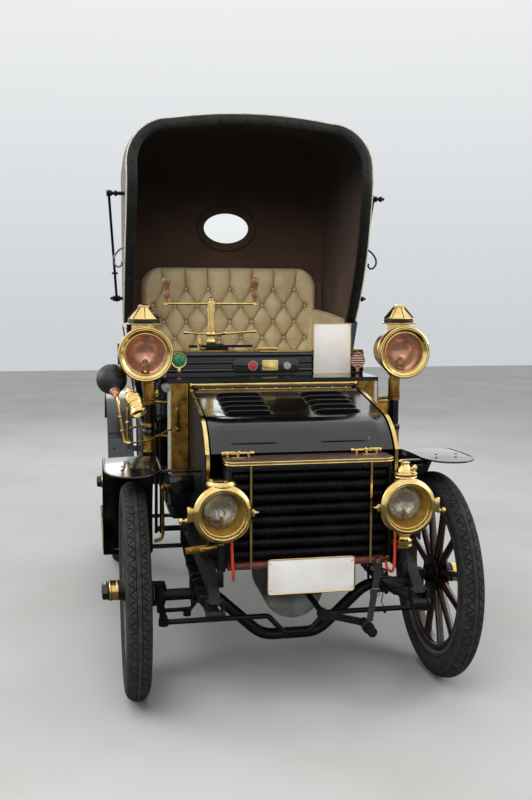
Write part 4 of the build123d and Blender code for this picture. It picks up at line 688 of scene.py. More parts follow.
for place, (centre, radius, side, body) in wheel_places.items():
    rim = radius - 90.3
    out = (side, 0, 0)
    felloe = [(rim - 12.3, -21), (rim - 12.3, 21), (rim - 17, 23), (rim - 35, 23), (rim - 41, 19), (rim - 42.3, 12)]
    felloe += [(r, -h) for r, h in reversed(felloe[2:])]
    woodwork = [turned(felloe, centre, 96, out, ring=True)]
    woodwork += [spoke_form(centre, radians(30 * k + 15), 44, rim - 38) for k in range(12)]
    shape("wheel_wood_" + place, woodwork, "varnished_ash", sharp=50, body=body, stands_for="wheel_" + place)
    edge = [(rim - 12, -27), (rim - 12, 27), (rim - 9, 31), (rim - 2, 33), (rim + 4, 32.6), (rim + 6, 31)]
    edge += [(rim + 4, 30), (rim - 1, 30), (rim - 2, 27)]
    edge += [(r, -h) for r, h in reversed(edge[2:])]
    shape("wheel_rim_" + place, [turned(edge, centre, 96, out, ring=True)], "grey_rim_paint", body=body, weld=True)
    flange = 74
    iron = [
        turned([(36, -26), (flange - 2, -26), (flange, -24), (flange, -20), (flange - 2, -18.5), (36, -18.5)], centre,
               48, out),
        turned([(36, 18.5), (flange - 2, 18.5), (flange, 20), (flange, 24), (flange - 2, 26), (52, 27.5), (44, 33),
                (38, 46), (36, 60), (36, 88), (31, 90)], centre, 48, out),
        turned([(30, -43.5), (34, -43.5), (36, -41), (36, -26)], centre, 40, out),
    ]
    for k in range(12):
        a = radians(30 * k)
        foot = Vector(centre) + Vector((side * 26, 61 * sin(a), 61 * cos(a)))
        iron.append(hex_nut(foot, out, 13, 7))
    if radius > 450:
        iron.append(turned([(36, -64), (104, -64), (109, -62), (112, -58), (112, -30), (110, -27), (104, -26),
                            (36, -26)], centre, 64, out))
    shape("hub_iron_" + place, iron, "satin_black_frame_paint", sharp=35, body=body, weld=True)
    ring = [(30, 58), (37, 58), (38.5, 60), (38.5, 64), (36.8, 66), (36.8, 84), (39, 86), (39, 91), (37, 93.5),
            (30, 94.5)]
    shape("hub_brass_ring_" + place, [turned(ring, centre, 40, out, ring=True)], "polished_brass", sharp=35,
          body=body, weld=True)
    cap = [(31, 94), (36, 94.6), (37, 97), (36, 99.5), (30, 101)]
    crown_nut = [(30, 100), (34, 101), (34.5, 114), (33, 118), (24, 120.5), (0, 121.6)]
    caps = [turned(cap, centre, 36, out), turned(crown_nut, centre, 6, out)]
    shape("hub_cap_" + place, caps, "gloss_black_enamel", sharp=35, body=body)
print("four wheels with", 4 * 12, "spokes")

# %% [markdown]
# The seat back is deep-buttoned hide over horsehair. The hide is gathered into pleats between the buttons,
# which draw it down into diamonds, and straight pleats run from the top row over the upper edge. A simulation
# would lose the pleats, which are narrower than its mesh, so the surface is worked out: every point asks how
# far it is from the nearest pleat and the nearest button. Hair swells fast near a pleat and then levels off,
# which is an exponential curve; small folds run out of each button like a star.

# %% How buttons and pleats shape hide
def tufted_height(a, b, pleats, buttons, swell=22.0):
    """The height of stuffed hide in mm over (a, b), from its pleats and buttons, and the painted shade of its folds."""
    nearest = np.full(a.shape, 1e9)
    for (a0, b0), (a1, b1) in pleats:
        da, db = a1 - a0, b1 - b0
        t = np.clip(((a - a0) * da + (b - b0) * db) / (da * da + db * db), 0, 1)
        nearest = np.minimum(nearest, np.hypot(a - a0 - t * da, b - b0 - t * db))
    # a pleat is pulled tight beside a button and above the top row, and slackens between two buttons
    tight = np.clip((b - max([b0 for _, b0 in buttons], default=0)) / 30, 0, 1)
    for a0, b0 in buttons:
        tight = np.maximum(tight, np.exp(-((np.hypot(a - a0, b - b0) / 42) ** 2)))
    crease = (0.3 + 0.7 * tight) * np.exp(-((nearest / 2.4) ** 2))
    height = swell * (1 - np.exp(-nearest / 17)) - 3.2 * crease
    # painted shade: darker along each pleat, in a ring round each button and in the star's folds
    shade = 0.9 * crease
    for a0, b0 in buttons:
        r = np.hypot(a - a0, b - b0)
        star = np.cos(9 * np.arctan2(b - b0, a - a0) + 0.7 * a0)
        wrinkle = np.exp(-(((r - 19) / 11) ** 2))
        height = height - 9 * np.exp(-((r / 13) ** 2)) + 1.5 * star * wrinkle
        shade = np.maximum(shade, 0.6 * np.exp(-(((r - 9) / 4) ** 2)))
        shade = np.maximum(shade, 0.45 * np.clip(-star, 0, 1) ** 3 * wrinkle)
    return height, shade


def paint_pleat_shade(piece, shade):
    """Keeps the painted shade of the folds at each point, which darkens the hide's colour."""
    depth = np.zeros(len(piece.data.vertices))
    depth[: shade.size] = shade.ravel()
    mark = piece.data.attributes.new("pleat_painted_shade", "FLOAT", "POINT")
    mark.data.foreach_set("value", depth.astype(np.float32))


pillow, _ = tufted_height(np.array([30.0]), np.array([0.0]), [((0, -44), (0, 44))], [])
print("a pillow is", round(float(pillow[0]), 1), "mm high 30 mm from its pleat")

# %% [markdown]
# The back rest has seven rows of buttons, set like bricks. Its outline narrows to a rounded top, and the skin
# rolls over at the edges. Rings of points run from that edge to the flat back, so the pad is closed.

# %% The seat back
button_pitch, row_pitch, top_row = 118, 87, 1531
half_pitch = button_pitch // 2
button_reach = 420  # no button stands further out than this
back_top, back_foot, back_half, back_corner = 1645, 886, 474, 110
back_buttons, back_pleats = [], []
for row in range(7):
    shift = half_pitch * (row % 2)
    for k in range(-4, 5):
        x, z = button_pitch * k + shift, top_row - row_pitch * row
        if abs(x) <= button_reach:
            back_buttons.append((x, z))
            for side in (-half_pitch, half_pitch):
                if abs(x + side) <= button_reach:
                    back_pleats.append(((x, z), (x + side, z - row_pitch)))
            if row == 0:
                back_pleats.append(((x, z), (x * 1.03, back_top + 6)))
rows, columns = 226, 288
z = np.linspace(back_foot, back_top, rows)[:, None] * np.ones((1, columns))
fall = np.clip((z - (back_top - back_corner)) / back_corner, 0, 1)
half = back_half - back_corner * (1 - np.sqrt(1 - fall**2 + 1e-9)) - 4 * (1 - (z - back_foot) / (back_top - back_foot))
x = np.linspace(-1, 1, columns)[None, :] * half
rounding = 34
inside = np.minimum(half - np.abs(x), back_top - z)
rolled = np.clip(1 - inside / rounding, 0, 1)
drop = rounding * (1 - np.sqrt(1 - rolled**2 + 1e-9))
relief, shade = tufted_height(x, z, back_pleats, back_buttons, 21)
y = 663 - relief * (1 - 0.55 * rolled**2) + drop
back_points = [(float(x[i, j]), float(y[i, j]), float(z[i, j])) for i in range(rows) for j in range(columns)]
back_faces = grid_faces(rows, columns)
around = list(range(columns)) + [i * columns + columns - 1 for i in range(1, rows)]
around += [(rows - 1) * columns + j for j in range(columns - 2, -1, -1)]
around += [i * columns for i in range(rows - 2, 0, -1)]
start = len(back_points)
for depth in (0.35, 0.7, 1.0):
    back_points += [(back_points[k][0], back_points[k][1] + (736 - back_points[k][1]) * depth, back_points[k][2])
                    for k in around]
rings = [around] + [[start + r * len(around) + k for k in range(len(around))] for r in range(3)]
for inner, outer in zip(rings, rings[1:]):
    for k in range(len(around)):
        m = (k + 1) % len(around)
        back_faces.append((inner[k], inner[m], outer[m], outer[k]))
back_faces.append(tuple(rings[-1]))
seat_back = shape("buttoned_seat_back", [(back_points, back_faces)], "buff_hide", sharp=75, stands_for="seat_back")
paint_pleat_shade(seat_back, shade)
knobs = [dome((bx, 668.5, bz), forward, 8.5, 5.5) for bx, bz in back_buttons if bz > 1020]
shape("seat_back_buttons", knobs, "buff_hide", sharp=60, weld=True)
print("the seat back has", len(back_buttons), "buttons and", len(seat_back.data.polygons), "faces")

# %% [markdown]
# The cushion is the same work laid flat. Its skin is one strip that goes from the back over the top, round the
# front edge and down, so a point is found by how far along that strip it lies. The pleats of the top run on
# down its front as straight flutes, and the two ends are rolled inwards.

# %% The seat cushion
edge_path = [(628, 900), (628, 1012), (600, 1014)]
edge_path += [(600 - 425 * t, 1014) for t in np.linspace(0.02, 1, 60)]
edge_path += [(175 - 44 * sin(radians(a)), 970 + 44 * cos(radians(a))) for a in range(6, 91, 6)]
edge_path += [(131 + 3 * t, 970 - 82 * t) for t in np.linspace(0.08, 1, 14)]
path = np.array(edge_path, float)
strip = np.concatenate([[0], np.cumsum(np.hypot(*np.diff(path, axis=0).T))])
slope_of = np.gradient(path, axis=0)
outward = np.stack([slope_of[:, 1], -slope_of[:, 0]], 1)
outward /= np.hypot(*outward.T)[:, None]
cushion_buttons, cushion_pleats = [], []
cushion_half, cushion_row = 478, 105
front_strip = 150 + 425
for row in range(4):
    shift = half_pitch * (row % 2)
    for k in range(-4, 5):
        bx, bs = button_pitch * k + shift, front_strip - 55 - cushion_row * row
        if abs(bx) <= button_reach:
            cushion_buttons.append((bx, bs))
            for side in (-half_pitch, half_pitch):
                if abs(bx + side) <= button_reach and row < 3:
                    cushion_pleats.append(((bx, bs), (bx + side, bs - cushion_row)))
            if row == 0:
                cushion_pleats.append(((bx, bs), (bx, float(strip[-1]) + 5)))
across = np.linspace(-cushion_half, cushion_half, 200)
s_grid, x_grid = np.meshgrid(strip, across, indexing="ij")
relief, shade = tufted_height(x_grid, s_grid, cushion_pleats, cushion_buttons, 17)
relief = relief - 17
edge = np.clip(1 - (cushion_half - np.abs(x_grid)) / 36, 0, 1)
inset = 26 * (1 - np.sqrt(1 - edge**2 + 1e-9))
push = relief * (1 - edge) - inset
push[:4] = np.minimum(push[:4], 0) * 0.3
y = path[:, 0][:, None] + outward[:, 0][:, None] * push
z = path[:, 1][:, None] + outward[:, 1][:, None] * push
n_rows, n_columns = y.shape
points = [(float(x_grid[i, j]), float(y[i, j]), float(z[i, j])) for i in range(n_rows) for j in range(n_columns)]
faces = grid_faces(n_rows, n_columns)
faces.append(tuple(i * n_columns for i in range(n_rows)))
faces.append(tuple(i * n_columns + n_columns - 1 for i in range(n_rows)))
faces.append(tuple(range(n_columns)) + tuple((n_rows - 1) * n_columns + j for j in range(n_columns - 1, -1, -1)))
cushion = shape("buttoned_seat_cushion", [(points, faces)], "buff_hide", sharp=75, stands_for="seat_cushion")
paint_pleat_shade(cushion, shade)
studs = []
for bx, bs in cushion_buttons:
    by, bz = float(np.interp(bs, strip, path[:, 0])), float(np.interp(bs, strip, path[:, 1]))
    studs.append(dome((bx, by, bz - 26), upright, 8.5, 5.5))
shape("seat_cushion_buttons", studs, "buff_hide", sharp=60, weld=True)
print("the cushion's skin is", round(float(strip[-1])), "mm round")

# %% [markdown]
# At each end of the seat a pad of the same hide lines the flared side, with upright flutes and a rolled top
# that runs down towards the front. The pad is again a grid: along the seat, and round its section from the
# outer lower edge, over the roll, to the inner lower edge.

# %% The seat's side pads
def arm_pad_form(side):
    """The pad along one side of the seat."""
    length = np.linspace(0, 1, 120)
    turn_by = np.linspace(0, 1, 40)
    points = []
    for t in length:
        y = 198 + (636 - 198) * t
        end = min(1.0, min(t, 1 - t) * 11)
        full = sqrt(max(0.0, 1 - (1 - end) ** 2))
        flute = 1 - abs(cos(pi * (y - 198) / 73)) ** 6 * 0.22
        top = 1365 - 4 - 26 * (1 - t) ** 2
        for w in turn_by:
            if w < 0.4:
                z, out = 1030 + (top - 24 - 1030) * w / 0.4, 1.0
            elif w < 0.6:
                a = (w - 0.4) / 0.2 * pi
                z, out = top - 24 + 22 * sin(a) * full, cos(a)
            else:
                z, out = top - 24 - (top - 24 - 1030) * (w - 0.6) / 0.4, -1.0
            lean = (z - 885) / 480
            outer = 482 + lean * 62 - 0.8
            middle, thick = outer - 20, 19.5 * full * (flute if out < 0 else 1)
            x = middle + out * thick if w >= 0.4 or out > 0 else middle + thick
            if out < 0:
                x = middle - thick
            points.append((side * x, y, z))
    n = len(turn_by)
    faces = grid_faces(len(length), n, looped=True)
    faces += [tuple(range(n)), tuple(range((len(length) - 1) * n, len(length) * n))]
    return points, faces


pads = shape("fluted_side_pads", [arm_pad_form(-1), arm_pad_form(1)], "buff_hide", sharp=70, stands_for="seat_arms",
             weld=True)
print("side pads:", len(pads.data.polygons), "faces")

# %% [markdown]
# The hood is a bent shell: upright sides, round shoulders and a slightly crowned roof, which sink and narrow
# towards the back curtain. One function gives a point on it from two numbers, how far round the arch and how
# far behind the front axle, with an inset for the layers under the leather. Sizes at nine stations are joined
# by a smooth curve. Between two bows the leather sags by a few millimetres, so the bows can be felt from
# outside.

# %% The hood's surface
stations = np.array(
    [
        (790, 562, 2296, 190), (960, 575, 2340, 205), (1150, 577, 2364, 225), (1330, 577, 2361, 240),
        (1470, 574, 2328, 250), (1570, 567, 2277, 255), (1640, 556, 2212, 255), (1676, 544, 2150, 250),
        (1690, 532, 2096, 240),
    ],
    float,
)
bows = (884, 1150, 1400, 1600)
crown, hood_foot = 30, 1365.3
axle_y, hood_back, valance_back = -885, 1690, 1640.3  # the axle's Y, and two distances behind it


def station_sizes(back):
    """Half width, crown height and shoulder radius at a distance behind the front axle."""
    i = int(np.clip(np.searchsorted(stations[:, 0], back) - 1, 0, len(stations) - 2))
    d0, d1 = stations[i, 0], stations[i + 1, 0]
    t = min(max((back - d0) / (d1 - d0), 0), 1)
    first, second = stations[i, 1:], stations[i + 1, 1:]
    slope = (second - first) / (d1 - d0)
    before = (first - stations[i - 1, 1:]) / (d0 - stations[i - 1, 0]) if i else slope
    after = (stations[i + 2, 1:] - second) / (stations[i + 2, 0] - d1) if i + 2 < len(stations) else slope
    m0, m1 = (before + slope) / 2 * (d1 - d0), (slope + after) / 2 * (d1 - d0)
    leaving = (2 * t**3 - 3 * t**2 + 1) * first + (t**3 - 2 * t**2 + t) * m0
    return leaving + (3 * t**2 - 2 * t**3) * second + (t**3 - t**2) * m1


def hood_point(share, back, inset=0.0, foot=None):
    """A point on the hood: share 0 and 1 are the two lower edges, 0.5 the middle of the roof."""
    half, top, corner = station_sizes(back)
    sag = 0.0
    for first, second in zip(bows, bows[1:]):
        if first < back < second:
            sag = 5 * sin(pi * (back - first) / (second - first)) ** 2
    s = abs(share - 0.5) * 2
    if s > 0.35:
        inset = inset + sag * max(0.0, 1 - (s - 0.35) / 0.35)
    else:
        inset = inset + sag
    half, top, corner = half - inset, top - inset, max(corner - inset, 20)
    low = foot if foot else (hood_foot if back < valance_back else 1300)
    if s > 0.55:
        t = (s - 0.55) / 0.45
        x, z = half, top - crown - corner + (low - (top - crown - corner)) * t
    elif s > 0.25:
        a = (s - 0.25) / 0.30 * pi / 2
        x, z = half - corner + corner * sin(a), top - crown - corner + corner * cos(a)
    else:
        t = s / 0.25
        x, z = (half - corner) * t, top - crown * t * t
    return Vector((x if share > 0.5 else -x, back + axle_y, z))


print("the hood is", round(max(stations[:, 2])), "mm high at its highest station")

# %% [markdown]
# Seen from the side, the hood's front edge is cut to an arc and then runs straight to the roof. Where it
# starts depends on how high the strip is, and the height depends on where it starts, so the answer is found by
# going back and forth until it holds still.

# %% The hood's front edge
def arc_through(first, middle, last):
    """Centre and radius of the circle through three points."""
    (ax, ay), (bx, by), (cx, cy) = first, middle, last
    d = 2 * (ax * (by - cy) + bx * (cy - ay) + cx * (ay - by))
    ux = ((ax**2 + ay**2) * (by - cy) + (bx**2 + by**2) * (cy - ay) + (cx**2 + cy**2) * (ay - by)) / d
    uy = ((ax**2 + ay**2) * (cx - bx) + (bx**2 + by**2) * (ax - cx) + (cx**2 + cy**2) * (bx - ax)) / d
    return ux, uy, sqrt((ax - ux) ** 2 + (ay - uy) ** 2)


arc_y, arc_z, arc_radius = arc_through((265, hood_foot), (20, 1810), (-39, 2020))


def front_edge(share, inset=0.0):
    """How far behind the front axle the hood starts on this strip."""
    back = 880.0
    for _ in range(30):
        z = hood_point(share, back, inset).z
        if z < 2020:
            y = arc_y - sqrt(max(arc_radius**2 - (z - arc_z) ** 2, 0))
        else:
            y = -39 + 38 * (z - 2020) / 400
        back += 0.6 * (y - axle_y - back)
    return back


for place, share in (("foot", 0.0), ("shoulder", 0.2), ("roof", 0.5)):
    print("the front edge at the", place, "stands at Y", round(front_edge(share) + axle_y))

# %% [markdown]
# The leather is a skin 2.5 mm thick, with the wool lining 7 mm under it. Both come from one function: strips
# from the front edge to the back, and then rings that draw together round the window in the back curtain. Two
# skins are sewn along their open edges, so that the hood has a thickness wherever it is cut.

# %% The hood's leather and its lining
window_middle, window_half = Vector((0, 805, 1862)), (125, 82)
shares = np.concatenate([np.linspace(0, 0.225, 26), np.linspace(0.235, 0.375, 17), np.linspace(0.39, 0.61, 23)])
shares = [float(s) for s in np.concatenate([shares, 1 - shares[::-1][23:]])]
edge_at = {s: front_edge(s) for s in shares}


def hood_skin(inset):
    """The shell from the front edge to the back, then the back curtain in rings down to the window's edge."""
    points, columns = [], 60
    for s in shares:
        start = edge_at[s]
        for j in range(columns):
            t = j / (columns - 1)
            back = start + (hood_back - start) * t
            points.append(hood_point(s, back if j < columns - 1 else hood_back, inset))
    rows = len(shares)
    faces = grid_faces(rows, columns)
    ring = [i * columns + columns - 1 for i in range(rows)]
    first, last = points[ring[0]], points[ring[-1]]
    for k in range(1, 30):
        ring.append(len(points))
        points.append(last.lerp(first, k / 30))
    middle = window_middle - Vector((0, inset, 0))
    for p in ring:
        points[p] = Vector((points[p].x, middle.y, points[p].z))
    outer = ring
    for step in range(1, 13):
        t = step / 12
        inner = []
        for p in ring:
            away = points[p] - middle
            a = atan2(away.z / window_half[1], away.x / window_half[0])
            hole = middle + Vector((window_half[0] * cos(a), 0, window_half[1] * sin(a)))
            inner.append(len(points))
            place = points[p].lerp(hole, t)
            place.y += 3 * sin(pi * t) * (0.5 + 0.5 * sin(place.x / 55)) * 0.6
            points.append(place)
        for k in range(len(ring)):
            m = (k + 1) % len(ring)
            faces.append((outer[k], outer[m], inner[m], inner[k]))
        outer = inner
    return points, faces


def thick_skin(inset, thickness):
    """Two skins, one inside the other, sewn together along their open edges."""
    outside, faces = hood_skin(inset)
    inside, _ = hood_skin(inset + thickness)
    count = len(outside)
    used = {}
    for f in faces:
        for a, b in zip(f, f[1:] + f[:1]):
            used[(min(a, b), max(a, b))] = used.get((min(a, b), max(a, b)), 0) + 1
    both = list(faces) + [tuple(count + k for k in reversed(f)) for f in faces]
    both += [(a, b, count + b, count + a) for (a, b), times in used.items() if times == 1]
    return outside + inside, both


hood_outside = shape("hood_leather_outside", [thick_skin(0, 2.5)], "black_hood_leather", sharp=50,
                     stands_for="hood_leather")
lining = shape("hood_lining_cloth", [thick_skin(9.5, 2.2)], "brown_wool_lining", sharp=50)
for cloth in (hood_outside, lining):
    print(cloth.name, "covers", round(sum(f.area for f in cloth.data.polygons) / 2, 2), "square metres")

# %% [markdown]
# A front bow of bent ash stiffens the opening. Leather is wrapped round it and nailed with domed studs about
# 62 mm apart, and a cream piping finishes its outer edge. The wrap is a section swept along the edge; the
# studs are spaced along the same line.

# %% The front bow, its studs and the piping
def edge_sweep(section, values):
    """Sweeps (inset, distance behind the front edge) pairs along the hood's front edge, as a closed ring."""
    points = []
    for s in values:
        for inset, behind in section:
            points.append(hood_point(s, edge_at[s] + behind, inset, hood_foot))
    n = len(section)
    faces = grid_faces(len(values), n, looped=True)
    return points, faces + [tuple(range(n)), tuple(range((len(values) - 1) * n, len(values) * n))]


bow_section = [(-2.2, -2), (-0.5, -5), (20, -6.5), (40, -5), (44, -2), (44.5, 10), (44, 24), (41, 28), (20, 29),
               (13, 28), (12.8, 0.5), (-2.2, 0.5)]
bow = shape("hood_front_bow", [edge_sweep(bow_section, shares)], "black_hood_leather", sharp=60)
cover = [(-2.4, 0.5), (-2.4, 34), (-0.3, 34), (-0.3, 0.5)]
shape("hood_edge_binding", [edge_sweep(cover, shares)], "black_hood_leather", sharp=50)
piping_line = [hood_point(s, edge_at[s] - 1.5, -4.5, hood_foot) for s in shares]
shape("hood_cream_piping", [tube(piping_line, 3.4, 8)], "cream_piping_tape", sharp=60)
stud_forms, run = [], 0.0
edge_middle = [hood_point(s, edge_at[s] - 6, 21, hood_foot) for s in shares]
for first, second in zip(edge_middle, edge_middle[1:]):
    length = (second - first).length
    while run < length:
        stud_forms.append(dome(first.lerp(second, run / length), (0, -1, 0.05), 5.5, 4, 10))
        run += 62
    run -= length
shape("hood_bow_studs", stud_forms, "black_forged_iron", sharp=60, weld=True)
print("the hood has", len(stud_forms), "studs")

# %% [markdown]
# The window in the back curtain is an oval of plate glass in a padded rim, with piping sewn round it. The rim
# is a section carried round the oval. The hood's two skins, leather and cloth, are held stretched on the bows.

# %% The hood's window
def oval_line(wide, y, high, count=72):
    """Points on an oval round the middle of the hood's window."""
    turns = [2 * pi * k / count for k in range(count)]
    return [Vector((wide * cos(a), y, 1862 + high * sin(a))) for a in turns]


rim_section = [(0.0, 0.5), (0.0, -3.5), (0.15, -5), (0.5, -6), (0.85, -5), (1.0, -2.5), (1.0, 0.5)]
points = []
for k in range(72):
    a = 2 * pi * k / 72
    for t, lift in rim_section:
        wide, high = 124 + 36 * t, 81 + 42 * t
        points.append((wide * cos(a), 793 + lift, 1862 + high * sin(a)))
shape("window_rim", [(points + points[:7], grid_faces(73, 7))], "brown_wool_lining", sharp=50,
      weld=True)
shape("window_piping", [tube(oval_line(160, 790.5, 123), 2.6, 8, looped=True)], "black_hood_leather", sharp=60,
      weld=True)
pane = [(0.1, 0), (40, 0), (80, 0), (99.5, 0), (100, 1), (99.5, 2), (60, 2), (0.1, 2)]
pane_points, pane_faces = turned(pane, (0, 0, 0), 64, backward)
pane_points = [Vector((p.x * 1.26, 799 + p.y, 1862 + p.z * 0.83)) for p in pane_points]
shape("window_pane", [(pane_points, pane_faces)], "clear_plate_glass", weld=True)
print("the window is", 2 * 124, "mm wide inside its rim")

# %% [markdown]
# A brass lamp is spun from sheet: a drum, a wide bezel that opens like a funnel, and a rolled rim. Spun metal
# is turned metal, so every part of it is a lathe profile about the lamp's own axis. The bezel stands proud and
# throws its own reflections, which is what makes brass look like brass. Behind the glass is a reflector,
# silvered in the headlamps and copper in the dash lamps, with the burner standing in it.

# %% A headlamp's profiles
drum = [(90, 2), (94, 2), (96, 0), (98, -4), (98, -14), (94, -20), (89, -26), (89, -30), (91, -33), (89, -36),
        (88, -52), (84, -60), (62, -74), (40, -80), (24, -82), (0, -82)]
rim = [(81, 7), (82, 10), (84.5, 11), (87, 10), (92, 6.5), (97, 1.5), (100, -2.5), (101, -6), (100, -9),
       (99, -10), (99.5, -13), (97, -16), (90, -16), (84, -12)]
funnel = [(79.6, -4), (81, -6), (84, 5), (84.5, 9), (82.5, 10), (80.5, 5), (79.5, -2)]
inner_wall = [(80, -3), (79, -20), (74, -44), (67, -60), (40, -70), (2, -72), (2, -70), (39, -68), (64, -59),
              (71, -45), (76.5, -21), (78, -3)]
tall_vent = [(0, -6), (38, -6), (41, -2), (42, 4), (40, 7), (36, 8), (36, 11), (42, 13), (43, 16), (38, 20),
             (18, 24), (0, 25)]
low_vent = [(0, -16), (49, -16), (51, -12), (51, 3), (49, 6), (46, 8), (45, 11), (30, 14), (0, 15)]
bead = [(75.2 + 2.2 * cos(radians(a)), -2.6 + 2.2 * sin(radians(a))) for a in range(0, 360, 45)]
mirror = [(0.5, -64), (17, -62.5), (33, -58), (45, -51), (52, -42), (54, -38), (56, -38), (56, -41), (52, -46),
          (45, -54), (33, -60.5), (17, -65), (0.5, -66)]
print("a headlamp is", 2 * max(radius for radius, _ in rim), "mm wide at its rim")

# %% [markdown]
# The two headlamps aren't a pair. The one on the car's right has a low vent and a brass bracket; the one on
# its left has a tall vent with two fillers and a larger collar below. The rest is shared, so one loop builds
# both.

# %% Headlamps
for hand, side in (("right", -1), ("left", 1)):
    face, height, x = -1317, 782, side * 322
    centre, vent_y, post_y = (x, face, height), face + 42, -1272
    brass = [turned(drum, centre, 72, forward)]
    brass += [turned(part, centre, 72, forward, ring=True) for part in (rim, funnel, bead)]
    brass.append(turned(tall_vent if side > 0 else low_vent, (x, vent_y, height + 96), 48))
    if side > 0:  # this lamp has a filler on its crown and a water jar's collar below
        crown = (x, vent_y, height + 96)
        brass += [
            turned([(30, 16), (30, 24), (24, 34), (16, 40), (14, 48), (17, 50), (17, 54), (8, 57), (0, 58)], crown,
                   36),
            turned([(0, 0), (6, 0), (6, 10), (11, 13), (12, 18), (8, 23), (0, 24)], (x + 16, face + 30, height + 128),
                   20, (0.8, -0.5, 0.3)),
            turned([(0, 0), (4, 0), (4, 16), (7, 18), (7, 24), (0, 26)], (x - 10, face + 34, height + 140), 14,
                   (-0.5, -0.2, 0.8)),
            turned([(0, -60), (18, -60), (27, -56), (31, -51), (31, -46), (26, -42), (26, -38), (30, -35), (31, -29),
                    (26, -25), (22, -20), (22, -12), (28, -9), (28, -1), (22, 2), (22, 10), (0, 12)],
                   (x, vent_y, height - 96), 36),
        ]
    for k in range(12):
        a = radians(30 * k)
        out, up = (36.5, 105.6) if side > 0 else (51, 94)
        brass.append(bar((7, 1.6, 3.2), (x + out * sin(a), vent_y - out * cos(a), height + up), 0.3,
                         (0, 0, degrees(a)), 1))
    brass += [
        bar((16, 14, 44), (x + side * 104, face + 12, height + 2), 3),
        turned(disc(6.5, -26, 26, 1.5, 2), (x + side * 112, face + 12, height + 2), 14),
        turned([(0, 0), (5, 0), (5, 14), (8, 16), (9, 20), (8, 25), (4, 27), (4, 30), (9, 33), (11, 38), (9, 44),
                (0, 47)], (x + side * 100, face + 26, height - 22), 18, (side, 0, 0)),
        bar((13, 12, 26), (x - side * 102, face + 12, height), 2.5),
        turned([(0, 0), (7, 0), (8, 3), (8, 7), (4, 9), (4, 14), (6, 16), (0, 18)],
               (x - side * 106, face + 12, height), 14, (-side, 0, 0)),
        turned([(0, 8), (9, 8), (9, 0), (7, -2), (5.5, -4), (5.5, -14), (6.5, -16), (5.5, -18), (0, -18)],
               (side * 288, -1281, 699), 16),
    ]
    brass.append(turned([(0, 0), (12, 0), (12, 8), (9, 10), (9, 24), (13, 26), (13, 34), (0, 34)], (x, post_y, 668),
                        20))
    shape("headlamp_brass_" + hand, brass, "polished_brass", sharp=42, stands_for="headlamps")
    shape("headlamp_inner_wall_" + hand, [turned(inner_wall, centre, 72, forward, ring=True)], "dull_lamp_brass",
          sharp=60, weld=True)
    mirror_centre = (x - 3, face, height + 8)
    shape("headlamp_reflector_" + hand, [turned(mirror, mirror_centre, 64, forward, ring=True)], "silvered_reflector",
          sharp=60, weld=True)
    burner = [turned([(0, 0), (5, 0), (5, 30), (8, 32), (8, 38), (0, 38)], (x, face + 40, height - 56), 14)]
    for dx in (-9, 9):
        fork = [(x + dx, face + 40, height + 2), (x + dx, face + 40, height - 12), (x, face + 40, height - 20)]
        burner.append(tube(smooth_path(fork, 5), 2, 8))
    shape("headlamp_burner_" + hand, burner, "aged_brass")
    post = [turned([(0, 576), (14, 576), (14, 660), (17, 662), (17, 669), (0, 669)], (x, post_y, 0), 24)]
    post.append(bar((20, 34, 58), (side * 326.5, post_y, 552), 3))
    shape("headlamp_post_" + hand, post, "satin_black_frame_paint")
    arm = [
        tube(smooth_path([(x + side * 14, post_y, 662), (x + side * 40, -1268, 656), (x + side * 66, -1258, 652)], 8),
             6.5, 12),
        bar((74, 10, 24), (x + side * 84, -1252, 650), 3, (0, side * 6, 0)),
    ]
    bolt = [(0, 0), (9, 0), (9, 5), (5, 7), (5, 11), (0, 12)]
    arm += [turned(bolt, (x + side * reach, -1257, 650), 14, forward) for reach in (66, 104)]
    if side < 0:
        shape("headlamp_bracket_right", arm, "aged_brass")
print("headlamps: rim, funnel and bead each have", 72, "steps")

# %% [markdown]
# The dash lamps are turned like the headlamps, but from other profiles: a deep drum with three beads, a broad
# funnel and a wide copper mirror.

# %% A dash lamp's profiles
drum = [(97, 1), (99, 2), (104, 0), (106, -6), (104, -20), (99, -26), (97, -30), (97, -60), (99, -63), (97, -66),
        (94, -84), (88, -120), (84, -160), (82, -168), (70, -170), (0, -170)]
rim = [(94, 2), (98, 7), (103, 9), (107, 7), (109, 2), (109, -4), (107, -8), (108, -12), (107, -20), (103, -22),
       (94, -20)]
funnel = [(81.6, -8), (83, -10), (94, 4), (99, 7.5), (96, 8), (83, -4), (81.6, -5)]
inner_wall = [(82, -8), (84, -30), (84, -92), (82, -92), (82, -30), (80, -8)]
bead = [(81 + 2.4 * cos(radians(a)), -3.4 + 2.4 * sin(radians(a))) for a in range(0, 360, 45)]
mirror = [(0.5, -112), (26, -109), (46, -101), (60, -90), (70, -78), (75, -70), (82, -68), (82, -71), (76, -74),
          (70, -82), (60, -94), (46, -105), (26, -113), (0.5, -116)]
print("a dash lamp is", 2 * max(radius for radius, _ in rim), "mm wide at its rim")

# %% [markdown]
# The dash lamps burn paraffin, so each has a chimney with eight sides and a wide brim, and it stands on a post
# of brass tube that two arms tie to the dash. The chimney is turned in eight steps, so its flats come by
# themselves, and black enamelled wires run down its corners.

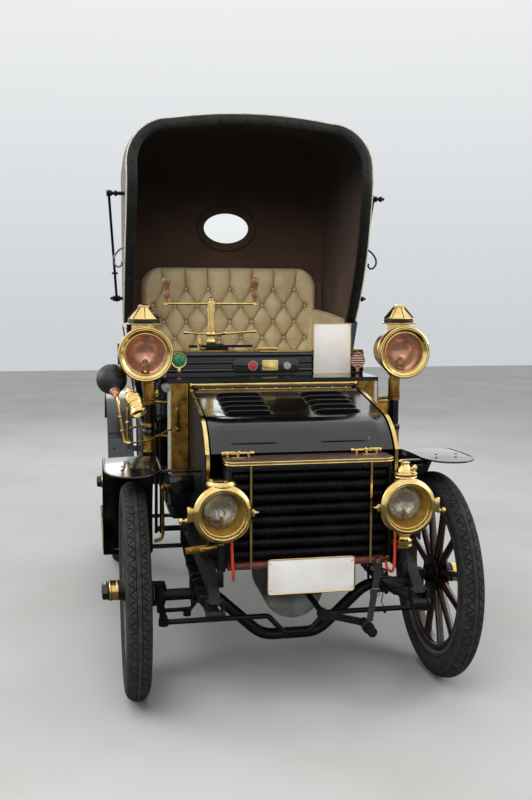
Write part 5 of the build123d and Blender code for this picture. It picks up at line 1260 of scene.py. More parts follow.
# %% Dash lamps
for hand, side in (("right", -1), ("left", 1)):
    face, height, x = -647, 1272, side * 531
    centre = (x, face, height)
    post_x, post_y = side * 515, -567
    post = (post_x, post_y, 0)
    brass = [turned(drum, centre, 72, forward)]
    brass += [turned(part, centre, 72, forward, ring=True) for part in (rim, funnel, bead, inner_wall)]
    chimney = (x, post_y, height + 109)
    throat = turned([(50, -24), (50, 4), (46, 6), (46, 10)], chimney, 8)
    brim = turned([(40, 6), (70, 6), (75, 8.5), (75, 11), (70, 13), (62, 14), (40, 14)], chimney, 48, ring=True)
    cone = turned([(0, 28), (64, 28), (66, 29), (64, 32), (25, 74), (25, 79), (20, 82), (0, 83)], chimney, 8)
    lid = turned([(0, 78), (24, 78), (24, 82), (14, 86), (0, 87)], chimney, 24)
    brass += [throat, brim, cone, lid]
    shape("dash_lamp_brass_" + hand, brass, "polished_brass", sharp=38, stands_for="dash_lamps")
    dark = [turned([(58, 13), (63, 13), (64, 16), (67, 18), (67, 21), (64, 23), (64, 28), (58, 28)], chimney, 8,
                   ring=True)]
    first, second, _ = across_axes(upright)
    for k in range(8):
        a = 2 * pi * k / 8
        out = first * cos(a) + second * sin(a)
        foot, top = Vector(chimney) + out * 64.6 + Vector((0, 0, 31)), Vector(chimney) + out * 25.6 + Vector((0, 0, 75))
        dark.append(tube([foot, top], 1.7, 6))
    dark.append(bar((7, 58, 70), (x + side * 101, face + 72, height), 2.5))
    dark += [turned(disc(4.5, -20, 20), (x + side * 104, face + 42, height + k), 10) for k in (-22, 22)]
    dark.append(turned(disc(21, 893, 1080), post))
    dark.append(turned([(0, 942), (26, 942), (27, 944), (27, 962), (26, 964), (21, 965)], post))
    shape("dash_lamp_black_parts_" + hand, dark, "gloss_black_enamel", sharp=38)
    shape("dash_lamp_reflector_" + hand, [turned(mirror, centre, 64, forward, ring=True)], "burnished_copper",
          sharp=60, weld=True)
    burner = [
        bar((26, 22, 24), (x, face + 52, height - 50), 3),
        turned([(0, 0), (11, 0), (12, 4), (9, 10), (4, 14), (0, 15)], (x, face + 52, height - 36), 20),
        turned([(0, -12), (16, -12), (17, -8), (13, 0), (0, 0)], (x, face + 52, height - 64), 24),
    ]
    shape("dash_lamp_burner_" + hand, burner, "aged_brass")
    collars = []
    for low, high in ((872, 941), (1082, 1158)):
        collars.append(turned([(0, low), (25, low), (26, low + 2), (26, low + 5), (24, low + 7), (24, high - 6),
                               (26, high - 4), (26, high - 1), (24, high), (0, high)], post))
    collars.append(turned([(0, 1158), (20, 1158), (20, 1170), (30, 1178), (30, 1186), (0, 1186)], post, 28))
    for z, thick in ((1072, 6.5), (934, 5)):
        arm = [(post_x - side * 12, post_y + 2, z + 3), (post_x - side * 34, post_y + 10, z + 2),
               (side * 452, -556, z), (side * 433, -556, z)]
        collars.append(tube(smooth_path(arm, 6), thick, 12))
        collars.append(turned([(0, 0), (11, 0), (11, 3), (8, 6), (0, 8)], (side * 432.3, -556, z), 18, (side, 0, 0)))
        collars.append(turned([(20, -8), (25, -8), (25, 8), (20, 8)], (post_x, post_y, z + 3), 24, ring=True))
    shape("dash_lamp_post_brass_" + hand, collars, "aged_brass", sharp=38)
print("dash lamps are up")

# %% [markdown]
# The horn is sounded by squeezing a rubber bulb, which is a pear with its neck pushed over a copper ferrule.
# The bulb is turned about the line of that neck. The bell gets the rolled lip that stops spun brass from
# splitting, a few rings where its tubes are soldered together, and the fine wire gauze that keeps insects out.

# %% The horn
neck = Vector((-652, -595, 1124))
bulb = Vector((-662, -545, 1168))
pull = (neck - bulb).normalized()
pear = [(0, -61.5), (14, -60), (30, -54), (45, -42), (56, -25), (61, -6), (61, 10), (56, 27), (46, 42), (34, 53),
        (25, 60), (20, 66), (18, 74)]
shape("horn_rubber_bulb", [turned(pear + [(0, 74)], bulb, 56, pull)], "smooth_black_rubber", sharp=70,
      stands_for="horn_bulb", weld=True)
ferrule = [turned([(0, 60), (18, 66), (21, 67), (22, 70), (21, 73), (17, 75), (15, 84), (11, 88), (9, 100), (0, 100)],
                  bulb, 28, pull)]
shape("horn_copper_ferrule", ferrule, "burnished_copper", weld=True)
loop = smooth_path([(-652, -595, 1124), (-647, -614, 1113), (-641, -650, 1096), (-636, -662, 1050), (-622, -668, 945),
                    (-615, -672, 931), (-608, -676, 940), (-606, -680, 1050), (-606, -676, 1128), (-605, -684, 1146),
                    (-602, -700, 1140)], 8)
throat, toward = Vector((-603, -694, 1142)), Vector((0.33, -0.5, -0.8))
bell_steps = [(0, 0), (10, 0), (12, 6), (13, 14), (20, 20), (28, 30), (31.5, 42), (32, 58), (30, 70), (27.5, 84),
              (29, 96), (33, 106), (34.5, 110), (33, 113), (31, 110), (26, 96), (24, 84), (22, 60), (0, 58)]
brass = [tube(loop, 6.2, 14), turned(bell_steps, throat, 36, toward)]
for along in (16, 40, 64, 90):
    radius = float(np.interp(along, [14, 20, 30, 42, 58, 70, 84, 96], [13, 20, 28, 31.5, 32, 30, 27.5, 29]))
    bead = [(radius - 1.5, along - 2.5), (radius + 1.6, along - 1.5), (radius + 2.2, along),
            (radius + 1.6, along + 1.5), (radius - 1.5, along + 2.5)]
    brass.append(turned(bead, throat, 36, toward, ring=True))
for x, y, z in ((-633, -664, 1030), (-626, -667, 975), (-606.5, -679, 1010), (-606, -679, 1090)):
    brass.append(turned([(6, -5), (8.6, -5), (9.4, 0), (8.6, 5), (6, 5)], (x, y, z), 16, (0.1, 0, 1), ring=True))
brass += [
    tube([(-607, -677, 985), (-575, -640, 985), (-541, -592, 984)], 4, 10),
    turned([(26, -7), (29, -7), (29, 7), (26, 7)], (-515, -567, 984), 28, ring=True),
    hex_nut((-541, -585, 984), (-0.5, -0.8, 0), 12, 7),
]
shape("horn_brass", brass, "polished_brass", stands_for="horn")
gauze = [turned([(0, 92), (16, 92.6), (28, 92), (28, 94), (16, 95), (0, 95.4)], throat, along=toward)]
shape("horn_gauze", gauze, "shade_and_gauze_black", sharp=60, weld=True)
print("the bulb's neck points", tuple(round(c, 2) for c in pull))

# %% [markdown]
# The car is steered by a bar like a bicycle's. Its grips are turned fruitwood, swelling to a knob at the top.
# The shaft is capped by a brass head and a black nut. Below it two brass levers for ignition and throttle
# reach out to both sides of the column, above the black block that carries the column on the ledge.

# %% Handlebar and controls
head_x, head_y = -207, -135  # the steering shaft
for hand, side in (("right", -1), ("left", 1)):
    grip = [(0, 0), (9, 0), (10, 2), (10, 8), (9, 11), (11.5, 20), (13.2, 30), (13, 38), (10.8, 50), (11.4, 58),
            (14.6, 70), (17.4, 82), (18.6, 92), (17.6, 102), (13, 109), (6, 112), (0, 112)]
    shape("turned_grip_" + hand, [turned(grip, (head_x + side * 200, head_y, 1472))], "oiled_fruitwood", sharp=60,
          body="steering", stands_for="handlebar_grips", weld=True)
head = [
    bar((34, 30, 30), (head_x, head_y, 1461), 3.5),
    turned(disc(17, -6, 6, 1, 2), (head_x, head_y, 1440), 24),
    bar((27, 24, 96), (head_x, head_y, 1386), 3),
]
for side in (-1, 1):
    head.append(turned(disc(10, -9, 8, 2, 2), (head_x + side * 200, head_y, 1464), 20))
shape("handlebar_brass_head", head, "polished_brass", body="steering")
nut = [
    hex_nut((head_x, head_y, 1476), upright, 24, 12),
    turned([(0, 10), (8, 10), (8, 15), (5, 19), (0, 20)], (head_x, head_y, 1476), 16),
]
shape("handlebar_top_nut", nut, "black_forged_iron", sharp=35, body="steering")
controls = [
    turned([(14, 1318), (20, 1318), (21, 1320), (21, 1334), (20, 1336), (14, 1336)], (head_x, head_y, 0), 28,
           ring=True),
    turned([(12.6, 1286), (19, 1286), (20, 1288), (20, 1300), (17, 1304), (17, 1318), (12.6, 1318)],
           (head_x, head_y, 0), 28, ring=True),
]
left_arm = smooth_path([(-224, -140, 1328), (-250, -150, 1330), (-285, -158, 1333), (-322, -160, 1336)], 6)
right_arm = smooth_path([(-190, -138, 1328), (-150, -148, 1330), (-100, -152, 1334), (-44, -150, 1338),
                         (-2, -146, 1340)], 6)
controls += [tube(left_arm, 4.6, 10), tube(right_arm, [6.5] * 8 + [5.5] * 8 + [6.8] * 9, 10)]
controls += [
    bar((46, 14, 9), (-140, -148, 1332), 2.5, (0, 4, 6)),
    bar((30, 12, 8), (-262, -153, 1331), 2.5, (0, -4, -8)),
]
controls.append(turned([(0, -10), (7, -10), (8, -6), (8, 6), (6, 10), (0, 10)], (-322, -160, 1336), 16, crosswise))
controls += [turned([(0, 0), (10, 0), (10, 12), (13, 14), (13, 22), (9, 26), (8, 46), (11, 48), (11, 56), (6, 60),
                     (0, 60)], (-262, -153, 1268), 20)]
shape("steering_column_brass_controls", controls, "polished_brass")
block = [
    bar((74, 44, 34), (-190, -135, 1268), 5),
    bar((44, 50, 26), (-178, -140, 1240), 5),
    turned(disc(18, -14, 14, 1, 2), (-150, -156, 1262), 20, backward),
    turned(disc(12, -12, 12, 1, 2), (-222, -158, 1262), 16, backward),
    hex_nut((-178, -165, 1262), forward, 14, 7),
]
shape("steering_column_block", block, "black_forged_iron")
print("handlebar, head, nut and two control levers")

# %% [markdown]
# The radiator is a stack of copper tubes, each with thin crimped gills soldered round it every 8 mm and the
# whole painted black. A gilled tube is turned in one go: its profile climbs to the gill's edge and falls back
# to the tube, again and again. The front bank carries the most detail because it is the one that is seen.

# %% The gilled radiator
tube_pitch, front_tube_y, low_tube_z = 39.5, -1203, 609


def gilled_tube(y, z, depth, steps, wave):
    """One tube with its gills, which get a flat crest with `wave` and a sharp one without."""
    profile, x = [(0, -277)], -277
    while x < 273:
        crest = [(19, x + 3.2), (19, x + 4.6), (19 - depth, x + 6.8)] if wave else [(19, x + 4)]
        profile += [(19 - depth, x + 1)] + crest
        x += 8
    return turned(profile + [(0, 277)], (0, y, z), steps, crosswise)


front_bank = [gilled_tube(front_tube_y, low_tube_z + tube_pitch * row, 5, 20, True) for row in range(8)]
shape("radiator_front_bank", front_bank, "satin_black_frame_paint", sharp=24, stands_for="radiator")
rear_banks = [gilled_tube(front_tube_y + tube_pitch * bank, low_tube_z + tube_pitch * row, 5, 12, False)
              for bank in (1, 2) for row in range(8)]
shape("radiator_rear_banks", rear_banks, "satin_black_frame_paint", sharp=24)
sides = []
for side in (-1, 1):
    outline = rounded_outline(130.5, 320, 6)
    sides.append(plate(outline, 12, (side * 292 if side < 0 else 280, -1164.75, 748), 1.5, forward))
    for row in range(8):
        for bank in range(3):
            sides.append(dome((side * 291.5, front_tube_y + tube_pitch * bank, low_tube_z + tube_pitch * row),
                              (side, 0, 0), 7, 2.5, 10))
    sides.append(bar((60, 26, 28), (side * 320, -1131, 604.3), 2))
    sides.append(hex_nut((side * 338, -1131, 618), upright, 15, 8))
shape("radiator_side_plates", sides, "satin_black_frame_paint")
lower_bar = [turned(disc(14, -292, 292, 2, 2), (0, -1204, 570), 28, crosswise)]
lower_bar += [bar((12, 30, 28), (side * 286, -1204, 584), 2) for side in (-1, 1)]
shape("radiator_lower_bar", lower_bar, "red_oxide_paint")
unions = []
for side in (-1, 1):
    unions.append(turned([(0, 572.5), (6, 572.5), (7, 574), (7, 581), (8.5, 582), (8.5, 588), (7, 589), (5, 590.5),
                          (0, 590.8)], (side * 274, -1232, 0), 16))
    unions.append(tube([(side * 274, -1232, 580), (side * 274, -1205, 580)], 5, 12))
shape("radiator_gas_unions", unions, "aged_brass")
print("front bank:", sum(len(f) for _, f in front_bank), "faces")

# %% [markdown]
# Over the tubes sits the tank, and on the tank a board covered in brown hide, bound with brass at its edge.
# Two turned brass bolts lie on it and hold the bonnet lid down. The board has round front corners, so it and
# its binding are sawn from one outline.

# %% The tank, its board and the bolts
tank = [bar((584, 128, 22), (0, -1164.75, 917), 4)]
for x in (-190, 0, 190):
    tank.append(turned([(0, 0), (9, 0), (9, 3), (6, 5), (0, 6)], (x, -1229, 917), 14, forward))
shape("radiator_tank_case", tank, "satin_black_frame_paint", stands_for="radiator_tank")


def board_outline(grow):
    """The board from above, larger by `grow` at each edge."""
    outline = []
    for cx, start in ((1, 270), (-1, 180)):
        for k in range(9):
            a = radians(start + 90 * k / 8)
            outline.append((cx * (300 - 34) + (34 + grow) * cos(a), -1236 + 34 + (34 + grow) * sin(a)))
    left, right = outline[9:], outline[:9]
    return left + right + [(300 + grow, -1108), (-300 - grow, -1108)]


board = [plate(board_outline(-2.5), 11.5, (0, 0, 930), 1.5, up=backward)]
board = [([Vector((p.x, p.y, 942.2 - (930 - p.z) if p.z <= 930 else p.z)) for p in board[0][0]], board[0][1])]
shape("tank_board_hide", board, "brown_board_leather")
rim = board_outline(0)
path = [Vector((x, y, 935)) for x, y in rim[:-2]]
path = [Vector((-300, -1110, 935))] + path + [Vector((300, -1110, 935))]
binding = [tube([p + Vector((0, 0, dz)) for p in path], 2.6, 8) for dz in (-5, 4.5)]
band = [p + Vector((0, 0, dz)) for p in path for dz in (-6, 5.5)]
binding.append((band, grid_faces(len(path), 2)))
shape("tank_board_brass_edge", binding, "polished_brass", sharp=50)
stitching = [bar((1.6, 122, 1.2), (34, -1171, 942.4), 0.3, rounds=1)]
shape("tank_board_seam", stitching, "strap_hide", weld=True)
bolts = []
for start, end, knob_end in ((-300, -184, -1), (170, 284, 1)):
    bolts.append(turned([(0, 0), (5.5, 0), (7, 2), (7, 10), (5, 12), (5, end - start - 12), (7, end - start - 10),
                         (7, end - start - 2), (5.5, end - start), (0, end - start)], (start, -1121, 953), 18,
                        crosswise))
    for x in (start + 20, (start + end) / 2, end - 20):
        bolts.append(bar((12, 16, 15), (x, -1121, 950.5), 2))
        bolts.append(dome((x, -1132, 943), upright, 3.4, 2.4, 10))
    x = (start + end) / 2 + knob_end * 30
    bolts.append(bar((44, 15, 15), (x, -1121, 954), 4))
    bolts.append(turned([(0, 0), (3.4, 0), (3.4, 5), (5, 7), (5, 11), (0, 13)], (x - knob_end * 34, -1123, 955), 14,
                        (0, -1, 0.35)))
    bolts.append(plate(rounded_outline(46, 30, 8), 2, ((start + end) / 2, -1150, 944.4), 0.5, up=backward))
shape("bonnet_bolts", bolts, "polished_brass")
print("the board is", 2 * 300, "mm wide")

# %% [markdown]
# Along the lid's hinge runs a brass strip with screw heads, and brass half-round covers the joint under the
# dash ledge.

# %% Bonnet trim
slope = atan2(64, 372)
strip = [bar((640, 20, 2), (0, -590, 1126.4), 0.8, (degrees(slope), 0, 0), 2)]
for k in range(-5, 6):
    strip.append(dome((k * 60, -590, 1127.2), (0, -slope, 1), 4, 2.2, 12))
shape("bonnet_hinge_strip", strip, "polished_brass", body="bonnet_lid")
moulding = [tube([(-341, -572, 1142.5), (341, -572, 1142.5)], 6.2, 14)]
for side in (-1, 1):
    moulding.append(turned(disc(8, 0, 10, 0.6, 2), (side * 341, -572, 1142.5), 16, (side, 0, 0)))
shape("dash_joint_moulding", moulding, "polished_brass", sharp=50)
print("the lid slopes", round(degrees(slope), 1), "degrees")

# %% [markdown]
# The plates are sheet iron under white enamel, with round corners. The number plate has a raised brass frame
# held by small rivets; the event plate has a thin frame and a screw in each corner. Both stay blank.

# %% Plates
number = [plate(rounded_outline(312, 124, 12), 3.6, (0, -1240.2, 534), 1)]
number += [bar((16, 17, 10), (x, -1227.6, 570), 1) for x in (-90, 90)]
event = [plate(rounded_outline(164, 214, 5), 3.6, (288, -398.8, 1274.3), 0.8)]
shape("enamelled_plates", number + event, "white_vitreous_enamel", stands_for="plates")


def frame_of(width, height, corner, centre, thick):
    """A wire frame round a plate."""
    outline = rounded_outline(width, height, corner, 6)
    return tube([Vector(centre) + Vector((a, 0, b)) for a, b in outline], thick, 8, looped=True)


frames = [frame_of(312, 124, 12, (0, -1240, 534), 2.6)]
frames += [dome((x, -1240.8, z), forward, 3, 2, 10) for x in (-146, 146) for z in (486, 582)]
frames += [frame_of(165, 215, 5, (288, -399, 1274.3), 1.6)]
frames += [dome((288 + x, -399, 1274.3 + z), forward, 2.8, 1.6, 10) for x in (-74, 74) for z in (-99, 99)]
shape("plate_frames", frames, "polished_brass", sharp=50)
print("two blank plates with frames")

# %% [markdown]
# The dash carries a row of small things that owners collect: an enamelled badge in a brass ring with a lug, a
# red one, a blank brass plate, a pale one, and a striped disc at the other side. Each is a turned disc with a
# rolled ring; the enamel lies a little lower than its ring. They bear no words or signs.

# %% Badges and small brass on the dash
def badge(name, centre, radius, enamel, ring_finish, lug=False):
    """An enamelled disc in its ring, with or without a lug below."""
    face = [turned([(0, 2.2), (radius * 0.5, 2.0), (radius * 0.86, 1.4), (radius * 0.9, 0), (0, 0)], centre, 40,
                   forward)]
    shape(name + "_enamel", face, enamel, sharp=50)
    ring = [turned([(radius * 0.84, 0), (radius * 0.84, 2.2), (radius * 0.9, 4), (radius, 3.6), (radius * 1.03, 1.8),
                    (radius, 0)], centre, 40, forward, ring=True)]
    if lug:
        ring.append(bar((15, 4, 20), (centre[0], centre[1] - 1, centre[2] - radius - 9), 1.5))
        ring.append(dome((centre[0], centre[1] - 3, centre[2] - radius - 11), forward, 3.4, 2.4, 10))
    shape(name + "_ring", ring, ring_finish, sharp=50)


panel_face = -395.5
raised = [plate(rounded_outline(292, 66, 24, 8), 11, (-2, panel_face, 1204), 4)]
shape("dash_raised_panel", raised, "gloss_black_enamel")
badge("green_badge", (-378, -400, 1230), 33, "green_enamel", "polished_brass", True)
badge("red_badge", (-61, panel_face - 0.2, 1204), 21, "red_enamel", "silvered_reflector")
badge("pale_badge", (90, panel_face - 0.2, 1203), 17, "grey_enamel", "silvered_reflector")
badge("striped_badge", (403, -400, 1222), 33, "red_oxide_paint", "burnished_copper", True)
bars = []
for k in (-2, -1, 0, 1, 2):
    half_length = sqrt(27.5**2 - (k * 10) ** 2)
    bars.append(bar((2 * half_length, 2.4, 4.4), (403, -402.4, 1222 + k * 10), 0.8, rounds=2))
shape("striped_badge_bars", bars, "cream_enamel", sharp=50)
hangers = [bar((26, 14, 6), (x, -391, z), 1.5) for x, z in ((-378, 1262), (403, 1254))]
hangers += [bar((10, 5, 60), (x, -395.2, 1232), 1) for x in (-378, 403)]
shape("badge_hangers", hangers, "aged_brass")
brass_plate = [plate(rounded_outline(72, 47, 7, 5), 3, (14, panel_face - 1.5, 1204), 1)]
for x in (-28, 28):
    for z in (-16, 16):
        brass_plate.append(dome((14 + x, panel_face - 1.3, 1204 + z), forward, 3, 1.8, 10))
brass_plate.append(frame_of(60, 36, 5, (14, panel_face - 1.8, 1204), 0.9))
brass_plate.append(bar((86, 16, 13), (6, -372, 1275.5), 2.5))
brass_plate.append(bar((250, 5, 4), (96, -386.5, 1264), 1))
for x in range(-400, 401, 80):
    brass_plate.append(dome((x, -372, 1267.6), upright, 3.2, 1.8, 10))
shape("dash_brass_details", brass_plate, "polished_brass")
print("five badges and plates on the dash")

# %% [markdown]
# The dash's corner plates are old brass, riveted at the top, with a slotted keeper for the bonnet strap; the slot
# is a near-black bar laid on the keeper, painted shade for its opening. The edge beside them is a strip of cream
# enamelled beading. Behind, black flanges close the gap to the lamp post, and a round brass switch and a pale lens
# sit there.

# %% Corner plates and their neighbours
corner = []
for side in (-1, 1):
    x = side * 394
    for k in range(6):
        corner.append(dome((x - 24 + 46 * (k % 2), -569.4, 1135 - 22 * (k // 2)), forward, 3.2, 2, 10))
    for z in (775, 880, 985):
        for dx in (-30, 30):
            corner.append(dome((x + dx, -569.4, z), forward, 3, 1.8, 10))
    corner.append(plate(rounded_outline(20, 118, 9, 5), 5, (x + side * 8, -574, 1010), 1.5))
    corner.append(turned([(0, 0), (8, 0), (8, 8), (6, 10), (0, 10)], (x + side * 8, -574, 1062), 16, forward))
    corner.append(turned([(0, 0), (8, 0), (8, 4), (5, 6), (0, 6)], (x + side * 8, -574, 962), 16, forward))
    corner.append(bar((4, 5, 380), (side * 361, -569.6, 950), 1))
shape("corner_plate_fittings", corner, "aged_brass")
# painted shade: a near-black bar stands for each keeper's slot opening
slot_shade_bars = [bar((5, 3, 66), (side * 402, -579, 1010), 1) for side in (-1, 1)]
shape("corner_plate_slot_shade", slot_shade_bars, "black_forged_iron")
cream = [tube([(side * 434, -567.5, 1146), (side * 434, -567.5, 768)], 8, 12) for side in (-1, 1)]
shape("cream_corner_beading", cream, "cream_enamel", sharp=50)
flanges = []
for side in (-1, 1):
    flanges.append(plate([(-34, -190), (34, -150), (34, 150), (24, 176), (-34, 192)], 4, (side * 467, -366, 962), 1,
                         (side, 0, 0)))
    flanges.append(tube(smooth_path([(side * 436, -368, 770), (side * 500, -368, 806), (side * 503, -368, 1118),
                                     (side * 492, -368, 1140), (side * 436, -368, 1156)], 6), 5, 10))
shape("dash_side_flanges", flanges, "gloss_black_enamel")
switch = [
    turned([(0, 0), (17, 0), (18, 2), (18, 8), (13, 11), (6, 11), (6, 8), (0, 8)], (-470, -371, 1086), 28, forward),
    turned([(0, 0), (6, 0), (6, 5), (0, 6)], (-470, -371, 1086), 12, forward),
]
shape("round_brass_switch", switch, "polished_brass")
lens = [turned([(0, 6), (8, 5.5), (15, 4), (17, 2), (17, -2), (0, -2)], (-447, -575, 1134), 28, forward)]
shape("pale_round_lens", lens, "grey_enamel", sharp=50)
lens_ring = [
    turned([(15.5, 4.4), (18.5, 4.6), (19.5, 2), (19.5, -3), (17, -4), (15.5, 0)], (-447, -575, 1134), 28, forward,
           ring=True),
    bar((20, 6, 8), (-441, -571, 1128), 1.5),
]
shape("pale_round_lens_ring", lens_ring, "oiled_steel")
print("corner plates have", len(corner), "fittings")

# %% [markdown]
# The hood is held up by an iron on each side: two studs with turned knobs, a rod between them, and a scroll
# to hook the strap on. They are forged iron, so each is bar that has been bent or turned while hot.

# %% Hood irons
def turned_knob(at, out, reach):
    return turned([(0, 0), (8.5, 0), (8.5, reach - 48), (13, reach - 46), (14, reach - 42), (13, reach - 38),
                   (8, reach - 36), (8, reach - 26), (12, reach - 24), (13.5, reach - 18), (12, reach - 12),
                   (7, reach - 10), (6, reach - 6), (7.5, reach - 3), (5, reach), (0, reach)], at, 20, out)


irons = []
for side, top_x, foot_x in ((-1, 648, 612), (1, 606, 604)):
    out = (side, 0, 0)
    irons.append(turned_knob((side * 577, 61, 1962), out, 82))
    irons.append(turned_knob((side * 577, 290, 1484), out, 66))
    irons.append(tube([(side * top_x, 61, 1962), (side * (top_x + foot_x) / 2, 175, 1723),
                       (side * foot_x, 290, 1484)], 6, 12))
    mid = Vector((side * (top_x * 0.25 + foot_x * 0.75), 232, 1604))
    irons.append(tube([mid - Vector((14, 0, 0)), mid + Vector((14, 0, 0))], 5, 10))
    irons.append(turned(disc(11, -12, 12), (side * foot_x, 290, 1484), 14, (0, 0.43, -0.9)))
    irons.append(turned(disc(11, -12, 12), (side * top_x, 61, 1962), 14, (0, 0.43, -0.9)))
shape("hood_iron_forgings", irons, "black_forged_iron", stands_for="hood_irons")
scroll = [(574, 68, 1727), (592, 70, 1716), (612, 74, 1700), (628, 79, 1676), (630, 84, 1652), (618, 88, 1634),
          (602, 88, 1632), (592, 86, 1644), (594, 84, 1656)]
for hand, side, metal in (("right", -1, "oiled_steel"), ("left", 1, "black_forged_iron")):
    bent = tube(smooth_path([(side * x, y, z) for x, y, z in scroll], 6), 4.4, 10)
    shape("hood_scroll_" + hand, [bent], metal, sharp=60)
print("two irons and two scrolls")

# %% [markdown]
# The starting handle is held up by a broad leather strap from the bar under the radiator, and a length of thin
# wire with a ring hangs beside it.

# %% Starting handle's strap
def ribbon_form(path, across, thickness):
    """A flat strap along (point, width) pairs."""
    points = []
    across = Vector(across)
    for p, width in path:
        centre = Vector(p)
        for u, v in ((-1, -1), (1, -1), (1, 1), (-1, 1)):
            points.append(centre + across * (u * width / 2) + Vector((0, v * thickness / 2, 0)))
    return points, grid_faces(len(path), 4, looped=True) + [(3, 2, 1, 0), tuple(range(len(points) - 4, len(points)))]


strap_path = [((246, -1226, 574), 30), ((246, -1228, 552), 30), ((240, -1238, 520), 27), ((222, -1262, 460), 25),
              ((204, -1286, 402), 24), ((196, -1297, 374), 24)]
strap = [ribbon_form(strap_path, (0.98, 0, 0.2), 3.4)]
strap.append(turned([(17.5, -12), (20.5, -12), (20.5, 12), (17.5, 12)], (190, -1300, 356), 28, backward, ring=True))
shape("handle_strap_leather", strap, "black_hood_leather", stands_for="handle_strap")
buckle = [tube([Vector((226, -1260.5, 466)) + Vector((a, 0, b)) for a, b in rounded_outline(34, 26, 5)], 2, 8,
               looped=True)]
buckle.append(turned(disc(11, -6, 6, 1, 2), (246, -1224, 572), 16, backward))
shape("handle_strap_buckle", buckle, "oiled_steel")
wire = [(262, -1222, 560), (263, -1226, 520), (258, -1232, 480), (263, -1236, 450), (257, -1240, 425),
        (264, -1244, 408), (268, -1246, 392)]
hanging = [tube(smooth_path(wire, 6), 1.8, 8), dome((268, -1246, 390), (0, 0, -1), 6, 7, 12)]
shape("hanging_wire", hanging, "black_forged_iron", sharp=60)
print("the starting handle is strapped up")

# %% [markdown]
# The bonnet lid is one pressed sheet, so it is one grid of points laid over its side view. Each point is then
# pushed out along the sheet's normal: the louvres climb slowly and drop straight at their lips, the two finger
# hollows fall gently and end in a crease, and the bend is fuller in the middle of the lid than at its edges.

# %% The pressed bonnet lid
bend_centre, bend_radius = (-911.486, 844.27), 222.27
side_view = [(-573.0, 1128.0)]
bend_start, bend_end = atan2(33.5, 219.7), atan2(195.5, 105.7)
side_view += [(-573 - 372 * k / 186, 1128 - 64 * k / 186) for k in range(1, 187)]
side_view += [(bend_centre[0] - bend_radius * sin(a), bend_centre[1] + bend_radius * cos(a))
              for a in [bend_start + (bend_end - bend_start) * k / 64 for k in range(1, 65)]]
side_view = np.array(side_view)
run = np.concatenate([[0], np.cumsum(np.hypot(*np.diff(side_view, axis=0).T))])
louvre_runs = [(98 + 61 * row) / cos(slope) for row in range(5)]
marks = set(np.linspace(0, run[-1], 190).round(2))
for at in louvre_runs:
    marks |= {round(at + d, 2) for d in (-19, -15, -11, -7, -3, 1, 5, 9, 12, 13.4, 14.2, 15, 15.8, 17)}
marks = np.array(sorted(marks))
marks = marks[np.concatenate([[True], np.diff(marks) > 0.45])]
lid_y, lid_z = np.interp(marks, run, side_view[:, 0]), np.interp(marks, run, side_view[:, 1])
along_y, along_z = np.gradient(lid_y, marks), np.gradient(lid_z, marks)
size = np.hypot(along_y, along_z)
normal_y, normal_z = along_z / size, -along_y / size
lid_half, sheet = 334, 2.5
lid_x = np.linspace(-lid_half, lid_half, 268)
x_grid, s_grid = np.meshgrid(lid_x, marks)
print("the lid is laid out in", len(marks), "lines")

# %% [markdown]
# A press raises the louvres: each climbs slowly, is level across and rounds off at its two ends. A lifted
# height over the grid says all this in a few lines, and the higher of two neighbours wins.

# %% Louvres, finger creases and the fuller bend
height = np.zeros_like(x_grid)
louvre_height, louvre_middle, louvre_half, crease_at = 12.5, 170, 92, 548.0
for row, at in enumerate(louvre_runs):
    for side in (-1, 1):
        across = np.abs(x_grid - side * louvre_middle) / louvre_half
        rounded = np.clip(1 - across**5, 0, 1) ** 0.5
        climb = np.clip((s_grid - at + 19) / 33.5, 0, 1)
        climb = climb * climb * (3 - 2 * climb)
        climb = climb * (s_grid <= at + 14.6)
        height = np.maximum(height, louvre_height * rounded * climb)
for start, end in ((-262, -95), (67, 236)):
    middle, half = (start + end) / 2, (end - start) / 2
    across = np.clip(1 - (np.abs(x_grid - middle) / (half + 14)) ** 5, 0, 1) ** 0.6
    fall = np.clip((s_grid - crease_at + 52) / 52, 0, 1)
    height += across * 5.0 * fall * fall * (3 - 2 * fall) * np.clip(1 - (s_grid - crease_at) / 3.5, 0, 1)
full = np.interp(marks, [0, 340, 400, 438, 468, 500, 530, run[-1]], [0, 0, 2.2, 8.5, 13.5, 12.5, 7, 0])
window = np.clip((lid_half - np.abs(lid_x)) / 60, 0, 1)
height += full[:, None] * (window * window * (3 - 2 * window))[None, :]
print("the highest louvre point stands", round(float(height.max()), 1), "mm over the sheet")

# %% [markdown]
# The upper skin follows those heights and the lower one stays plain, as nobody sees it. Four narrow strips
# close the edges between them.

# %% The lid's sheet
top = np.stack([x_grid, lid_y[:, None] + normal_y[:, None] * height, lid_z[:, None] + normal_z[:, None] * height], 2)
rows, columns = top.shape[:2]
lid_top = (top.reshape(-1, 3), grid_faces(rows, columns))
under = [(-lid_half, lid_y[k] - normal_y[k] * sheet, lid_z[k] - normal_z[k] * sheet) for k in range(rows)]
under_other = [(lid_half, y, z) for _, y, z in under]
lid_under = (under + under_other, [(k, rows + k, rows + k + 1, k + 1) for k in range(rows - 1)])
lid_edges = []
for column, line in ((0, under), (columns - 1, under_other)):
    upper = [tuple(top[k, column]) for k in range(rows)]
    lid_edges.append((upper + line, grid_faces(2, rows)))
for row in (0, rows - 1):
    line = [(x, under[row][1], under[row][2]) for x in lid_x]
    lid_edges.append(([tuple(p) for p in top[row]] + line, grid_faces(2, columns)))
shape("bonnet_lid_skin", [lid_top, lid_under] + lid_edges, "gloss_black_enamel", sharp=38, body="bonnet_lid",
      stands_for="bonnet_lid")
print("the lid's sheet is a grid of", rows, "by", columns)
